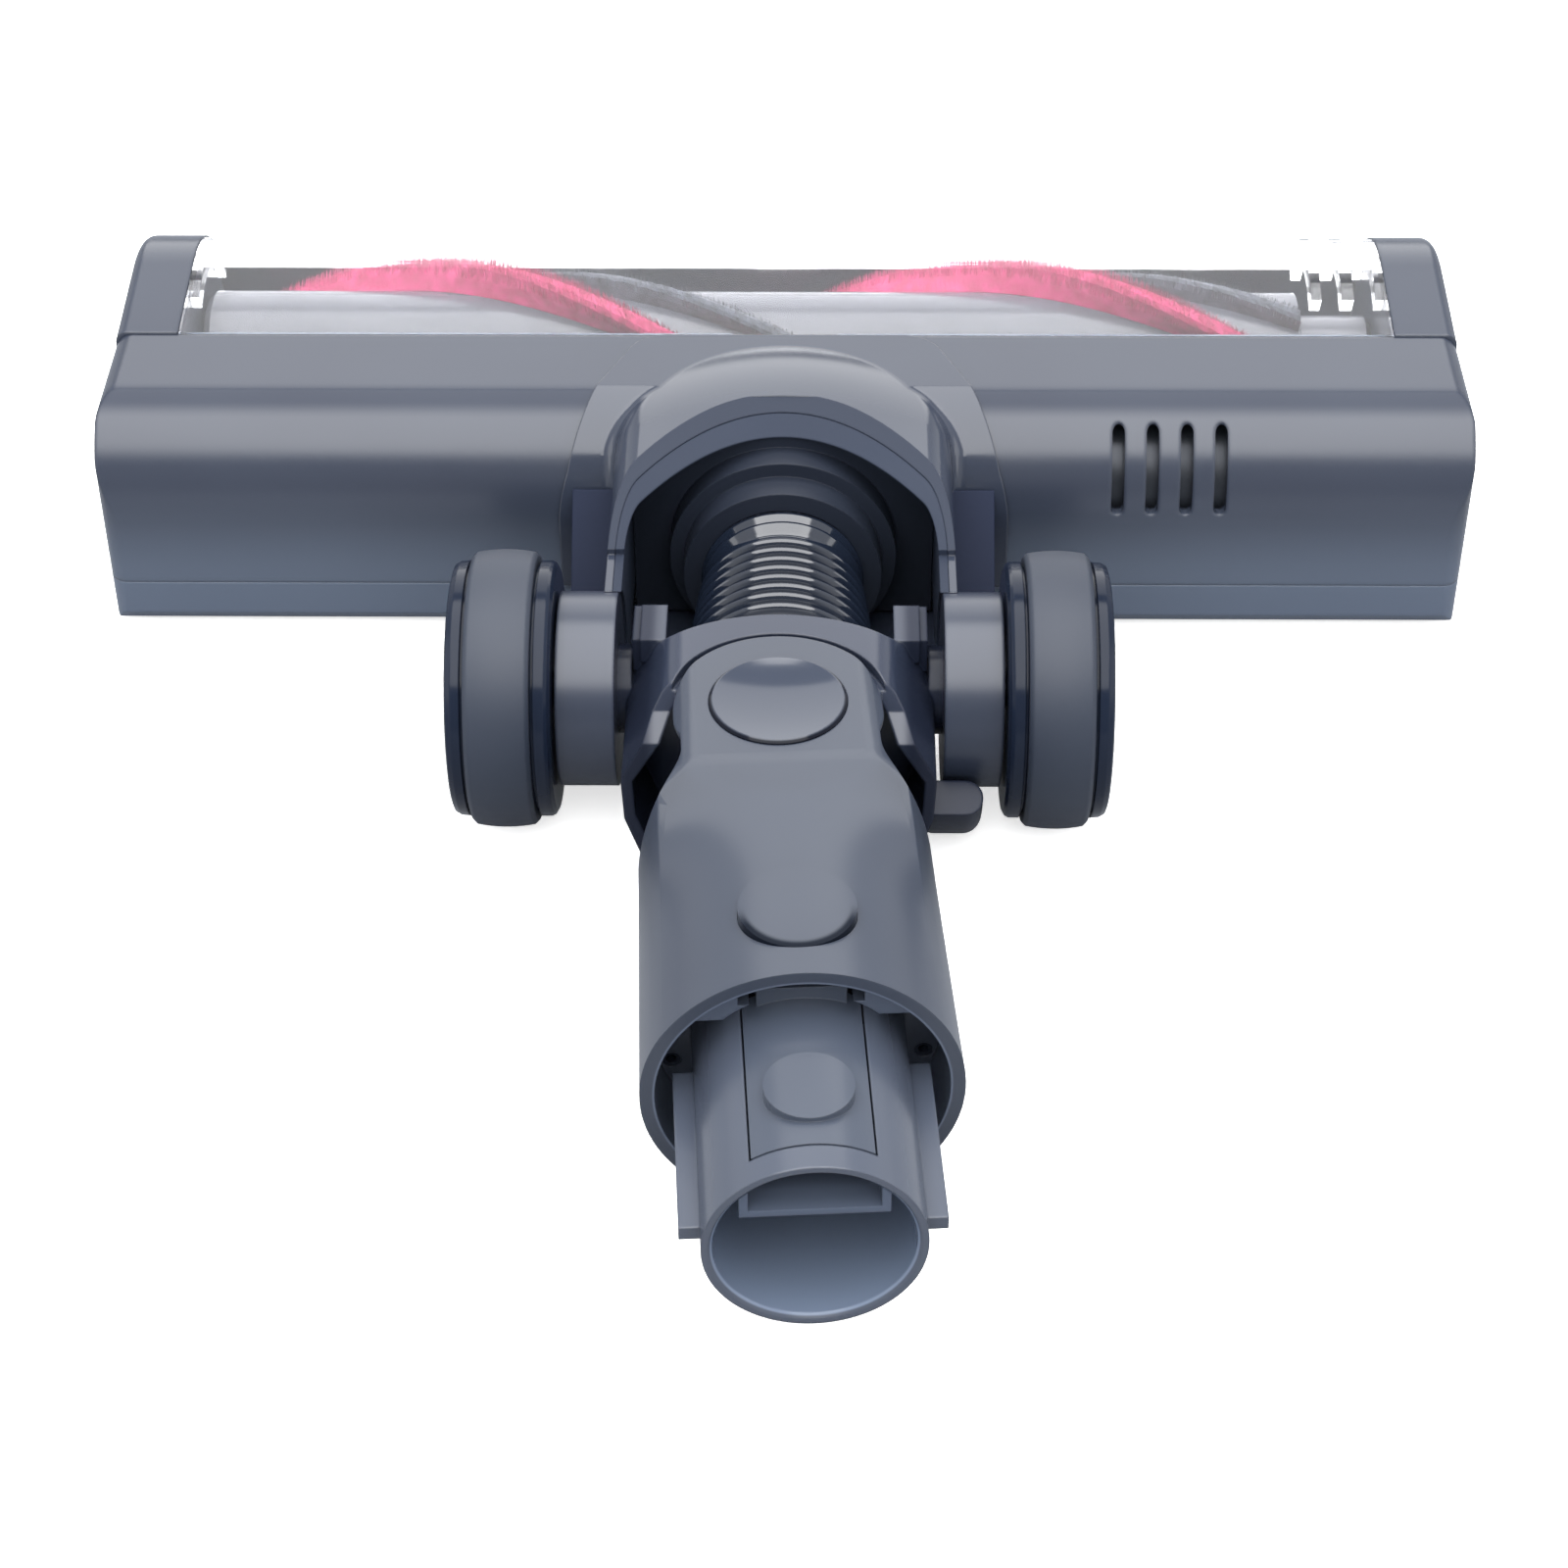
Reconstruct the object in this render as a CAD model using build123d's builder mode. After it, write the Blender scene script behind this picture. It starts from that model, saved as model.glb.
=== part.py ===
"""Motorised floor brush head of a stick vacuum cleaner, standing on the floor.

X runs across the head, +Y points forward over the brush roller, +Z is up.
The origin lies on the floor under the middle of the whole part, which is also
the middle of the wheel axle.
"""

import math
import os

from build123d import *

os.makedirs("parts", exist_ok=True)

# Head, overall
HEAD_HALF = 131.2
REAR_Y = 50.0
TOP_Z = 46.5
WINDOW_Y = 84.0
SOLE_Z = 2.0
PARTING_Z = 11.4
WALL = 2.4
SHOULDER_R = 22.0
SHOULDER_Z = 25.8
END_R = 3.6
FRONT_Y = 136.06

# Brush roller and the clear window around it
ROLLER_Y = 109.6
ROLLER_Z = 23.4
CORE_R = 14.0
BRISTLE_R = 22.4
SOFT_R = 19.4
STRIP_PITCH = 227.0
CAP_IN = HEAD_HALF - 12.4
STRIP_START = -(CAP_IN - 9.8)
STRIP_END = CAP_IN - 15.8
STRIP_PHASE = 58.0 + 360.0 * (STRIP_START + 72.0) / STRIP_PITCH
WINDOW_R = 25.6
WINDOW_T = 2.2
WINDOW_IN = WINDOW_R - WINDOW_T
BUMPER_ANGLE = 22.0

# Motor and belt drive at the right end
MOTOR_Y = 67.0
MOTOR_Z = 27.0
MOTOR_R = 13.2
MOTOR_X = HEAD_HALF - 84.2
BELT_X = HEAD_HALF - 6.8
BELT_W = 4.6
DRIVE_R = 5.5
DRIVEN_R = 10.5
BELT_T = 1.2
RUN_GAP = 0.05
ROLLER_X = HEAD_HALF - 33.2
BOARD_X = -(HEAD_HALF - 43.2)
SCREW_X = HEAD_HALF - 6.2
SCREW_Y = 86.8
WIPER_Y = 90.6
WIPER_HALF = CAP_IN - 12.8

# Neck, wheels and hose
AXLE_Z = 25.0
CYLINDER_R = 17.5
CYLINDER_IN = 29.0
CYLINDER_OUT = 39.4
ARM_Z = 16.0
WHEEL_R = 25.0
WHEEL_IN = 39.9
TYRE_IN = 43.4
TYRE_OUT = 55.0
WHEEL_OUT = 59.0
RIM_R = 23.0
BASE_HALF = 27.4
HOSE_R = 17.4
HOSE_NARROW_R = 15.0
HOSE_NARROW_Z = 24.4
HOSE_PITCH = 3.1
TRUNNION_R = 8.0

# Swivel tube, measured in its straight position and turned by the rest yaw
PIN_Y = -28.5
REST_YAW = 3.6
SWIVEL_AXIS = Axis((0, PIN_Y, 0), (0, 0, 1))
TUBE_Z = 25.9
TUBE_R = 25.6
TUBE_WALL = 2.4
TINE_Z = 45.0
TINE_HALF = 16.8
TINE_R = 18.0
PIVOT_R = 5.0
MOUTH_Y = -135.2
RIM_Y = -102.8
RECESS_Y = -93.0
SPIGOT_R = 17.1
SPIGOT_WALL = 1.7
AIRWAY_R = 14.2
BUTTON_Y = -87.6
BOSS_Y = -119.0
LATCH_Y = -64.5
LATCH_Z = 45.0


def head_outline(inset=0.0, bottom=PARTING_Z, front=WINDOW_Y):
    """Points of the head's side outline behind the window, moved inwards by inset."""
    radius = SHOULDER_R - inset
    top = TOP_Z - inset
    rise = math.asin((top - SHOULDER_Z) / radius)
    centre_y = REAR_Y + SHOULDER_R
    half = rise / 2
    return [
        (REAR_Y + inset, bottom),
        (REAR_Y + inset, SHOULDER_Z),
        (centre_y - radius * math.cos(half), SHOULDER_Z + radius * math.sin(half)),
        (centre_y - radius * math.cos(rise), top),
        (front - inset, top),
        (front - inset, bottom),
    ]


def draw_outline(points):
    """Closed outline: a straight rear wall, a round shoulder and a flat top."""
    Line(points[0], points[1])
    ThreePointArc(points[1], points[2], points[3])
    Polyline(points[3], points[4], points[5], points[0])


# Rear housing: upper shell behind the window, open below
with BuildPart() as rear_housing:
    with BuildSketch(Plane.YZ) as housing_side:
        with BuildLine():
            draw_outline(head_outline())
        make_face()
    extrude(amount=HEAD_HALF, both=True)
    # Rounded ends, seen from behind and from above
    with BuildSketch(Plane.XZ.offset(-WINDOW_Y - 1)):
        with Locations((0, TOP_Z - 30)):
            RectangleRounded(2 * HEAD_HALF, 60, END_R)
    extrude(amount=50, mode=Mode.INTERSECT)
    with BuildSketch(Plane.XY):
        with Locations((0, REAR_Y + 30)):
            RectangleRounded(2 * HEAD_HALF, 60, END_R)
    extrude(amount=60, mode=Mode.INTERSECT)
    # Left and right rooms for the circuit board and the motor
    for low, high in ((-HEAD_HALF + WALL, -38.0), (38.0, HEAD_HALF - WALL)):
        with BuildSketch(Plane.YZ.offset(low)):
            with BuildLine():
                draw_outline(head_outline(WALL, PARTING_Z - 1))
            make_face()
        extrude(amount=high - low, mode=Mode.SUBTRACT)
    # Middle passage for the air duct
    with BuildSketch(Plane.XZ.offset(-REAR_Y + 1)):
        with Locations((0, AXLE_Z)):
            Circle(19.4)
        with Locations((0, AXLE_Z - 10)):
            Rectangle(38.8, 20)
    extrude(amount=-(WINDOW_Y - REAR_Y + 2), mode=Mode.SUBTRACT)
    # Vent slots behind the motor
    with BuildSketch(Plane.XZ.offset(-REAR_Y + 1)):
        with Locations(*[(x, 35.5) for x in (63.6, 70.1, 76.6, 83.1)]):
            SlotOverall(15.2, 2.4, rotation=90)
    extrude(amount=-14, mode=Mode.SUBTRACT)
    # Slot for the belt through the front wall
    with Locations((BELT_X, WINDOW_Y - 1, 26.0)):
        Box(8.0, 6.0, 24.0, mode=Mode.SUBTRACT)

# Lower housing: tub under the parting line, chamber wall, arms and axle cylinders
with BuildPart() as lower_housing:
    with BuildSketch(Plane.YZ):
        with BuildLine():
            Polyline(
                (REAR_Y + 0.2, SOLE_Z + 2.0),
                (REAR_Y + 1.5, SOLE_Z),
                (WINDOW_Y, SOLE_Z),
                (WINDOW_Y, PARTING_Z),
                (REAR_Y, PARTING_Z),
                close=True,
            )
        make_face()
    extrude(amount=HEAD_HALF, both=True)
    with BuildSketch(Plane.XY):
        with Locations((0, REAR_Y + 30)):
            RectangleRounded(2 * HEAD_HALF, 60, END_R)
    extrude(amount=60, mode=Mode.INTERSECT)
    room = HEAD_HALF - WALL - 38.0
    for side in (-1, 1):
        with Locations((side * (38.0 + room / 2), (REAR_Y + WINDOW_Y) / 2, PARTING_Z)):
            Box(room, WINDOW_Y - REAR_Y - 2 * WALL, 2 * (PARTING_Z - SOLE_Z - WALL),
                mode=Mode.SUBTRACT)
    # Rear wall of the roller chamber, hollowed round the brush
    with BuildSketch(Plane.YZ.offset(-CAP_IN + 0.1)):
        with BuildLine():
            Polyline(
                (WINDOW_Y, SOLE_Z + 2.6),
                (WINDOW_Y + 8.0, SOLE_Z + 2.6),
                (WINDOW_Y + 8.0, 41.0),
                (WINDOW_Y, 41.0),
                close=True,
            )
        make_face()
        with Locations((ROLLER_Y, ROLLER_Z)):
            Circle(WINDOW_IN, mode=Mode.SUBTRACT)
    extrude(amount=2 * (CAP_IN - 0.1))
    with BuildSketch(Plane.XZ.offset(-WINDOW_Y - 9)):
        with Locations((0, AXLE_Z)):
            Circle(19.05)
        with Locations((0, 8.35 - 20)):
            Rectangle(60, 40, mode=Mode.SUBTRACT)
    extrude(amount=60, mode=Mode.SUBTRACT)
    # Wells and bores of the support rollers
    for side in (-1, 1):
        with Locations((side * ROLLER_X, 58.0, (SOLE_Z + PARTING_Z) / 2)):
            Box(17.0, 12.0, PARTING_Z - SOLE_Z)
        with Locations((side * ROLLER_X, 58.0, 5.0)):
            Box(8.6, 11.4, 11.6, mode=Mode.SUBTRACT)
        with BuildSketch(Plane.YZ.offset(side * ROLLER_X - 6.05)):
            with Locations((58.0, 5.0)):
                Circle(1.52)
        extrude(amount=12.1, mode=Mode.SUBTRACT)
        with BuildSketch(Plane.XY.offset(4.5)):
            with Locations((side * 60.0, SCREW_Y)):
                Circle(1.62)
        extrude(amount=4.4, mode=Mode.SUBTRACT)
    # Arms beside the hood and the cylinders at their ends
    for side in (-1, 1):
        with BuildSketch(Plane.XY.offset(ARM_Z - 10.0)):
            with BuildLine():
                Polyline(
                    (side * 29.2, 0),
                    (side * 29.2, REAR_Y),
                    (side * 40.0, REAR_Y),
                    (side * 39.2, 30),
                    (side * 39.2, 0),
                    close=True,
                )
            make_face()
        extrude(amount=10.0)
        with Locations((side * 34.6, REAR_Y, 8.7)):
            Box(10.8, 6.0, 5.4)
        with BuildSketch(Plane.YZ.offset(side * CYLINDER_IN)):
            with Locations((0, AXLE_Z)):
                Circle(CYLINDER_R)
        extrude(amount=side * (CYLINDER_OUT - CYLINDER_IN))
        with BuildSketch(Plane.YZ.offset(side * CYLINDER_IN)):
            with Locations((0, AXLE_Z)):
                Circle(TRUNNION_R + RUN_GAP)
        extrude(amount=side * 5.0, mode=Mode.SUBTRACT)
        with BuildSketch(Plane.YZ.offset(side * (CYLINDER_OUT - 4.0))):
            with Locations((0, AXLE_Z)):
                Circle(3.0)
        extrude(amount=side * 4.0, mode=Mode.SUBTRACT)
    # Floor between the arms, below the hose
    with Locations((0, REAR_Y - 10, 6.2)):
        Box(61.4, 20.2, 2.2)


def roof_corners(radius, rear_y, rear_z):
    """Corners under a roof line that runs from the rear edge onto the circle round the roller."""
    across = ROLLER_Y - rear_y
    rise = rear_z - ROLLER_Z
    turn = math.pi - math.atan2(rise, across) - math.acos(radius / math.hypot(across, rise))
    return [
        (rear_y, rear_z),
        (ROLLER_Y + radius * math.cos(turn), ROLLER_Z + radius * math.sin(turn)),
        (ROLLER_Y, ROLLER_Z),
        (rear_y, ROLLER_Z),
    ]


# Clear window: quarter dome over the roller with end walls and inner ribs
with BuildPart() as clear_window:
    with BuildSketch(Plane.YZ.offset(-CAP_IN + 0.1)) as window_side:
        for radius, mode in ((WINDOW_R, Mode.ADD), (WINDOW_IN, Mode.SUBTRACT)):
            with Locations((ROLLER_Y, ROLLER_Z)):
                Circle(radius, mode=mode)
            with BuildLine():
                Polyline(*roof_corners(radius, WINDOW_Y + 0.1, TOP_Z - WINDOW_R + radius),
                         close=True)
            make_face(mode=mode)
        with BuildLine():
            Polyline(
                (ROLLER_Y, ROLLER_Z),
                (ROLLER_Y + 60 * math.cos(math.radians(BUMPER_ANGLE)),
                 ROLLER_Z + 60 * math.sin(math.radians(BUMPER_ANGLE))),
                (ROLLER_Y + 60, -40),
                (WINDOW_Y - 10, -40),
                (WINDOW_Y - 10, TOP_Z - 5.0),
                (WINDOW_Y + 2, TOP_Z - 5.0),
                close=True,
            )
        make_face(mode=Mode.SUBTRACT)
    extrude(amount=2 * (CAP_IN - 0.1))
    # End walls and the two ribs near the drive end
    for start, thick, deep in ((-CAP_IN + 0.1, 1.8, 3.4), (CAP_IN - 14.4, 2.0, 3.6),
                               (CAP_IN - 8.4, 2.4, 3.6), (CAP_IN - 1.7, 1.6, 3.4)):
        with BuildSketch(Plane.YZ.offset(start)):
            with Locations((ROLLER_Y, ROLLER_Z)):
                Circle(WINDOW_IN + 0.4)
                Circle(WINDOW_IN - deep, mode=Mode.SUBTRACT)
            with BuildLine():
                Polyline(
                    (ROLLER_Y, ROLLER_Z),
                    (ROLLER_Y + 60 * math.cos(math.radians(BUMPER_ANGLE + 3)),
                     ROLLER_Z + 60 * math.sin(math.radians(BUMPER_ANGLE + 3))),
                    (ROLLER_Y + 60, -40),
                    (ROLLER_Y - 60, -40),
                    (ROLLER_Y - 60, ROLLER_Z + 60),
                    (ROLLER_Y - 24, ROLLER_Z + 60 * 0.8),
                    close=True,
                )
            make_face(mode=Mode.SUBTRACT)
        extrude(amount=thick)

# End caps: solid blocks with the outline of window and housing
caps = {}
for cap_name, side in (("left_end_cap", -1), ("right_end_cap", 1)):
    with BuildPart() as cap:
        with BuildSketch(Plane.YZ.offset(side * CAP_IN)):
            with Locations((ROLLER_Y, ROLLER_Z)):
                Circle(WINDOW_R + 0.3)
            with BuildLine():
                Polyline(*roof_corners(WINDOW_R + 0.3, WINDOW_Y, TOP_Z + 0.3), close=True)
            make_face()
            with Locations(((WINDOW_Y + ROLLER_Y) / 2, (ROLLER_Z + SOLE_Z + 2.6) / 2)):
                Rectangle(ROLLER_Y - WINDOW_Y, ROLLER_Z - SOLE_Z - 2.6)
            with Locations((ROLLER_Y, SOLE_Z + 2.6 - 20)):
                Rectangle(80, 40, mode=Mode.SUBTRACT)
            with Locations((WINDOW_Y - 5, ROLLER_Z)):
                Rectangle(10, 80, mode=Mode.SUBTRACT)
        extrude(amount=side * (HEAD_HALF - CAP_IN))
        outer_face = cap.faces().sort_by(Axis.X)[0 if side < 0 else -1]
        rim = outer_face.edges().filter_by(lambda e: e.center().Z > SOLE_Z + 4).filter_by(
            lambda e: e.center().Y > WINDOW_Y + 1
        )
        fillet(rim, radius=2.4)
        with BuildSketch(Plane.XY.offset(4.5)):
            with Locations((side * SCREW_X, 112.0)):
                Circle(1.62)
        extrude(amount=4.4, mode=Mode.SUBTRACT)
        if side < 0:
            with BuildSketch(Plane.YZ.offset(-CAP_IN)):
                with Locations((ROLLER_Y, ROLLER_Z)):
                    Circle(8.0)
            extrude(amount=-6.0, mode=Mode.SUBTRACT)
        else:
            # Bearing bore in the inner wall and the belt room behind it
            with BuildSketch(Plane.YZ.offset(CAP_IN)):
                with Locations((ROLLER_Y, ROLLER_Z)):
                    Circle(8.0)
            extrude(amount=2.4, mode=Mode.SUBTRACT)
            with BuildSketch(Plane.YZ.offset(CAP_IN + 2.2)):
                with Locations((ROLLER_Y, ROLLER_Z)):
                    Circle(13.0)
                with Locations(((ROLLER_Y + WINDOW_Y) / 2, ROLLER_Z)):
                    Rectangle(ROLLER_Y - WINDOW_Y, 26.0)
            extrude(amount=7.6, mode=Mode.SUBTRACT)
    caps[cap_name] = cap.part
left_end_cap = caps["left_end_cap"]
right_end_cap = caps["right_end_cap"]

# Sole plate: frame round the suction opening and the front wall
with BuildPart() as sole_plate:
    with BuildSketch(Plane.XY.offset(SOLE_Z)):
        with Locations((0, (WINDOW_Y + FRONT_Y) / 2)):
            RectangleRounded(2 * HEAD_HALF, FRONT_Y - WINDOW_Y, 3.0)
        with Locations((0, ROLLER_Y + 0.6)):
            RectangleRounded(2 * (CAP_IN - 8.8), 37.0, 3.0, mode=Mode.SUBTRACT)
    extrude(amount=2.4)
    with BuildSketch(Plane.YZ.offset(-CAP_IN + 0.1)):
        with BuildLine():
            front_low = (FRONT_Y, SOLE_Z + 1.0)
            lip_in = ROLLER_Y + WINDOW_IN * math.cos(math.radians(BUMPER_ANGLE))
            lip_out = ROLLER_Y + WINDOW_R * math.cos(math.radians(BUMPER_ANGLE))
            in_z = ROLLER_Z + WINDOW_IN * math.sin(math.radians(BUMPER_ANGLE))
            out_z = ROLLER_Z + WINDOW_R * math.sin(math.radians(BUMPER_ANGLE))
            low_in = ROLLER_Y + math.sqrt(WINDOW_IN**2 - (ROLLER_Z - SOLE_Z - 2.4) ** 2)
            ThreePointArc((low_in, SOLE_Z + 2.4), (ROLLER_Y + WINDOW_IN * math.cos(-0.3),
                          ROLLER_Z + WINDOW_IN * math.sin(-0.3)), (lip_in, in_z - 0.1))
            Line((lip_in, in_z - 0.1), (lip_out, out_z - 0.1))
            ThreePointArc((lip_out, out_z - 0.1), (ROLLER_Y + WINDOW_R, ROLLER_Z + 1.0),
                          (FRONT_Y - 1.2, ROLLER_Z - 8.0))
            Polyline((FRONT_Y - 1.2, ROLLER_Z - 8.0), (FRONT_Y, 9.0), front_low,
                     (FRONT_Y - 1.0, SOLE_Z), (low_in, SOLE_Z), (low_in, SOLE_Z + 2.4))
        make_face()
    extrude(amount=2 * (CAP_IN - 0.1))
    # Front notches that let coarse dirt in
    with Locations(*[(x, FRONT_Y, SOLE_Z) for x in (-84, -56, -28, 0, 28, 56, 84)]):
        Box(12.0, 26.0, 9.0, mode=Mode.SUBTRACT)
    # Slot of the wiper strip and the screw holes
    with Locations((0, WIPER_Y, 3.2)):
        Box(2 * WIPER_HALF + 0.04, 1.64, 2.6, mode=Mode.SUBTRACT)
    with BuildSketch(Plane.XY.offset(1)):
        with Locations((-SCREW_X, 112.0), (SCREW_X, 112.0), (-60.0, SCREW_Y), (60.0, SCREW_Y)):
            Circle(1.62)
    extrude(amount=5, mode=Mode.SUBTRACT)
    # Recess for the roller lock
    with Locations((-CAP_IN - 1.2, 96.0, SOLE_Z)):
        Box(18.6, 9.2, 2.6, mode=Mode.SUBTRACT)

# Hood arch and rim, shared by the centre cover, the liner and the hose port
HOOD_HALF = 31.6
HOOD_TOP = 52.0
CROWN_R = 83.9
CORNER_R = 7.0
HOOD_FRONT_Y = 51.5
HOOD_BACK_Y = 8.0
SHELL_WALL = 1.4
LINER_OUT = SHELL_WALL + 0.05
LINER_IN = SHELL_WALL + 1.65
RIM_TOP = (54.5, 51.7)
RIM_FOOT = (19.6, 41.7)
SHELF_Z = 40.5
COVER_T = 1.2
VALLEY_R = 3.0


def arch_points(inset):
    """Half of the hood's arch moved inwards: side, corner middle, crown edge and crown."""
    corner_x = HOOD_HALF - CORNER_R
    centre_z = HOOD_TOP - CROWN_R
    corner_z = centre_z + math.sqrt((CROWN_R - CORNER_R) ** 2 - corner_x**2)
    turn = math.atan2(corner_z - centre_z, corner_x)
    crown = CROWN_R - inset
    corner = CORNER_R - inset
    return [
        (HOOD_HALF - inset, corner_z),
        (corner_x + corner * math.cos(turn / 2), corner_z + corner * math.sin(turn / 2)),
        (crown * math.cos(turn), centre_z + crown * math.sin(turn)),
        (0.0, centre_z + crown),
    ]


def draw_half_arch(inset, foot_z):
    """Closed half of the arch, from the middle plane out to the side wall."""
    side, middle, edge, top = arch_points(inset)
    bend = edge[0] / 2
    centre_z = HOOD_TOP - CROWN_R
    rise = math.sqrt((CROWN_R - inset) ** 2 - bend**2)
    Line((side[0], foot_z), side)
    ThreePointArc(side, middle, edge)
    ThreePointArc(edge, (bend, centre_z + rise), top)
    Polyline(top, (0, foot_z), (side[0], foot_z))


def draw_arch(inset, foot_z):
    """Closed arch over the whole width."""
    side, middle, edge, top = arch_points(inset)
    Line((side[0], foot_z), side)
    ThreePointArc(side, middle, edge)
    ThreePointArc(edge, top, (-edge[0], edge[1]))
    ThreePointArc((-edge[0], edge[1]), (-middle[0], middle[1]), (-side[0], side[1]))
    Polyline((-side[0], side[1]), (-side[0], foot_z), (side[0], foot_z))


def draw_mouth():
    """Side view of everything that the slanted mouth and the feet cut away."""
    Polyline(RIM_TOP, RIM_FOOT, (RIM_FOOT[0], SHELF_Z), (-20, SHELF_Z), (-20, 70),
             (RIM_TOP[0], 70), close=True)


def off_hood(point):
    """Distance of a point from the hood's outer surface."""
    reach = math.hypot(point.X, max(point.Y - HOOD_FRONT_Y, 0.0))
    side, middle, edge, top = arch_points(0.0)
    if point.Z < side[1]:
        return abs(reach - side[0])
    if reach > edge[0]:
        corner_x = HOOD_HALF - CORNER_R
        return abs(math.hypot(reach - corner_x, point.Z - side[1]) - CORNER_R)
    return abs(math.hypot(reach, point.Z - HOOD_TOP + CROWN_R) - CROWN_R)


def off_skin(point):
    """Distance of a point from the skin's outer surface."""
    if point.Z < SHOULDER_Z:
        return abs(point.Y - REAR_Y + COVER_T)
    if point.Z > TOP_Z + COVER_T - 0.03:
        return abs(point.Z - TOP_Z - COVER_T)
    reach = math.hypot(point.Y - REAR_Y - SHOULDER_R, point.Z - SHOULDER_Z)
    return abs(reach - SHOULDER_R - COVER_T)


def in_valley(edge):
    """True for an edge along which the hood rises out of the skin."""
    points = [edge.position_at(share) for share in (0.0, 0.5, 1.0)]
    return all(off_hood(point) < 0.03 and off_skin(point) < 0.03 for point in points)


# Gloss centre cover: a skin over the shoulder that runs up into the hood
with BuildPart() as centre_cover:
    with BuildSketch(Plane.YZ.offset(-50)):
        with BuildLine():
            draw_outline(head_outline(-COVER_T, PARTING_Z + 0.4, WINDOW_Y - 2.5))
        make_face()
    extrude(amount=100)
    with BuildSketch(Plane.XY):
        with BuildLine():
            Polyline((-HOOD_HALF + 3.6, WINDOW_Y - 1.6), (HOOD_HALF - 3.6, WINDOW_Y - 1.6),
                     (HOOD_HALF + 4.9, 62.6), (HOOD_HALF + 9.4, 51.5), (HOOD_HALF + 14, 45),
                     (-HOOD_HALF - 14, 45), (-HOOD_HALF - 9.4, 51.5), (-HOOD_HALF - 4.9, 62.6),
                     close=True)
        make_face()
        fillet(vertices().group_by(Axis.Y)[-1], radius=8)
    extrude(amount=60, mode=Mode.INTERSECT)
    with BuildSketch(Plane.XZ.offset(-40)):
        with BuildLine():
            wide = HOOD_HALF + 12.2
            Polyline((wide - 6.0, 60), (wide - 3.0, 45), (wide - 1.6, 40), (wide, 31),
                     (wide - 0.3, 11), (-wide + 0.3, 11), (-wide, 31), (-wide + 1.6, 40),
                     (-wide + 3.0, 45), (-wide + 6.0, 60), close=True)
        make_face()
    extrude(amount=-60, mode=Mode.INTERSECT)
    # Arched hood, rounded in front
    with BuildSketch(Plane.XZ.offset(-HOOD_FRONT_Y)):
        with BuildLine():
            draw_arch(0.0, ARM_Z + 0.05)
        make_face()
    extrude(amount=HOOD_FRONT_Y - HOOD_BACK_Y)
    with BuildSketch(Plane.XZ.offset(-HOOD_FRONT_Y)):
        with BuildLine():
            draw_half_arch(0.0, ARM_Z + 0.05)
        make_face()
    revolve(axis=Axis((0, HOOD_FRONT_Y, 0), (0, 0, 1)), revolution_arc=180)
    fillet(centre_cover.edges().filter_by(in_valley), radius=VALLEY_R)
    # Sloping gussets beside the hood, down to the arms
    with BuildSketch(Plane.YZ.offset(-40)):
        with BuildLine():
            Polyline((REAR_Y - COVER_T + 0.4, 34.2), (30, ARM_Z + 0.05),
                     (REAR_Y - COVER_T + 0.4, ARM_Z + 0.05), close=True)
        make_face()
    extrude(amount=80)
    # Room for the housing, the hose, the slanted mouth, the cylinders and the arms
    with BuildSketch(Plane.YZ.offset(-50)):
        with BuildLine():
            draw_outline(head_outline(0.0, PARTING_Z - 5, WINDOW_Y + 5))
        make_face()
        with BuildLine():
            draw_mouth()
        make_face()
        with Locations((0, AXLE_Z)):
            Circle(CYLINDER_R + 0.05)
    extrude(amount=100, mode=Mode.SUBTRACT)
    with BuildSketch(Plane.XZ.offset(-HOOD_FRONT_Y)):
        with BuildLine():
            draw_arch(SHELL_WALL, 5)
        make_face()
    extrude(amount=HOOD_FRONT_Y, mode=Mode.SUBTRACT)
    with BuildSketch(Plane.XZ.offset(-HOOD_FRONT_Y)):
        with BuildLine():
            draw_half_arch(SHELL_WALL, 5)
        make_face()
    revolve(axis=Axis((0, HOOD_FRONT_Y, 0), (0, 0, 1)), revolution_arc=180, mode=Mode.SUBTRACT)
    with Locations((0, REAR_Y - 2, ARM_Z - 8)):
        Box(80.1, 10, 16.1, mode=Mode.SUBTRACT)

# Matte liner inside the hood
with BuildPart() as hood:
    for inset, foot_z, mode in ((LINER_OUT, ARM_Z + 0.05, Mode.ADD), (LINER_IN, 5, Mode.SUBTRACT)):
        with BuildSketch(Plane.XZ.offset(-HOOD_FRONT_Y)):
            with BuildLine():
                draw_arch(inset, foot_z)
            make_face()
        extrude(amount=HOOD_FRONT_Y - HOOD_BACK_Y + 5 * (inset - LINER_OUT), mode=mode)
        with BuildSketch(Plane.XZ.offset(-HOOD_FRONT_Y)):
            with BuildLine():
                draw_half_arch(inset, foot_z)
            make_face()
        revolve(axis=Axis((0, HOOD_FRONT_Y, 0), (0, 0, 1)), revolution_arc=180, mode=mode)
    with BuildSketch(Plane.YZ.offset(-50)):
        with BuildLine():
            draw_outline(head_outline(0.0, PARTING_Z - 5, WINDOW_Y + 5))
        make_face()
        with BuildLine():
            draw_mouth()
        make_face()
        with Locations((0, AXLE_Z)):
            Circle(CYLINDER_R + 0.05)
    extrude(amount=100, mode=Mode.SUBTRACT)

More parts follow.
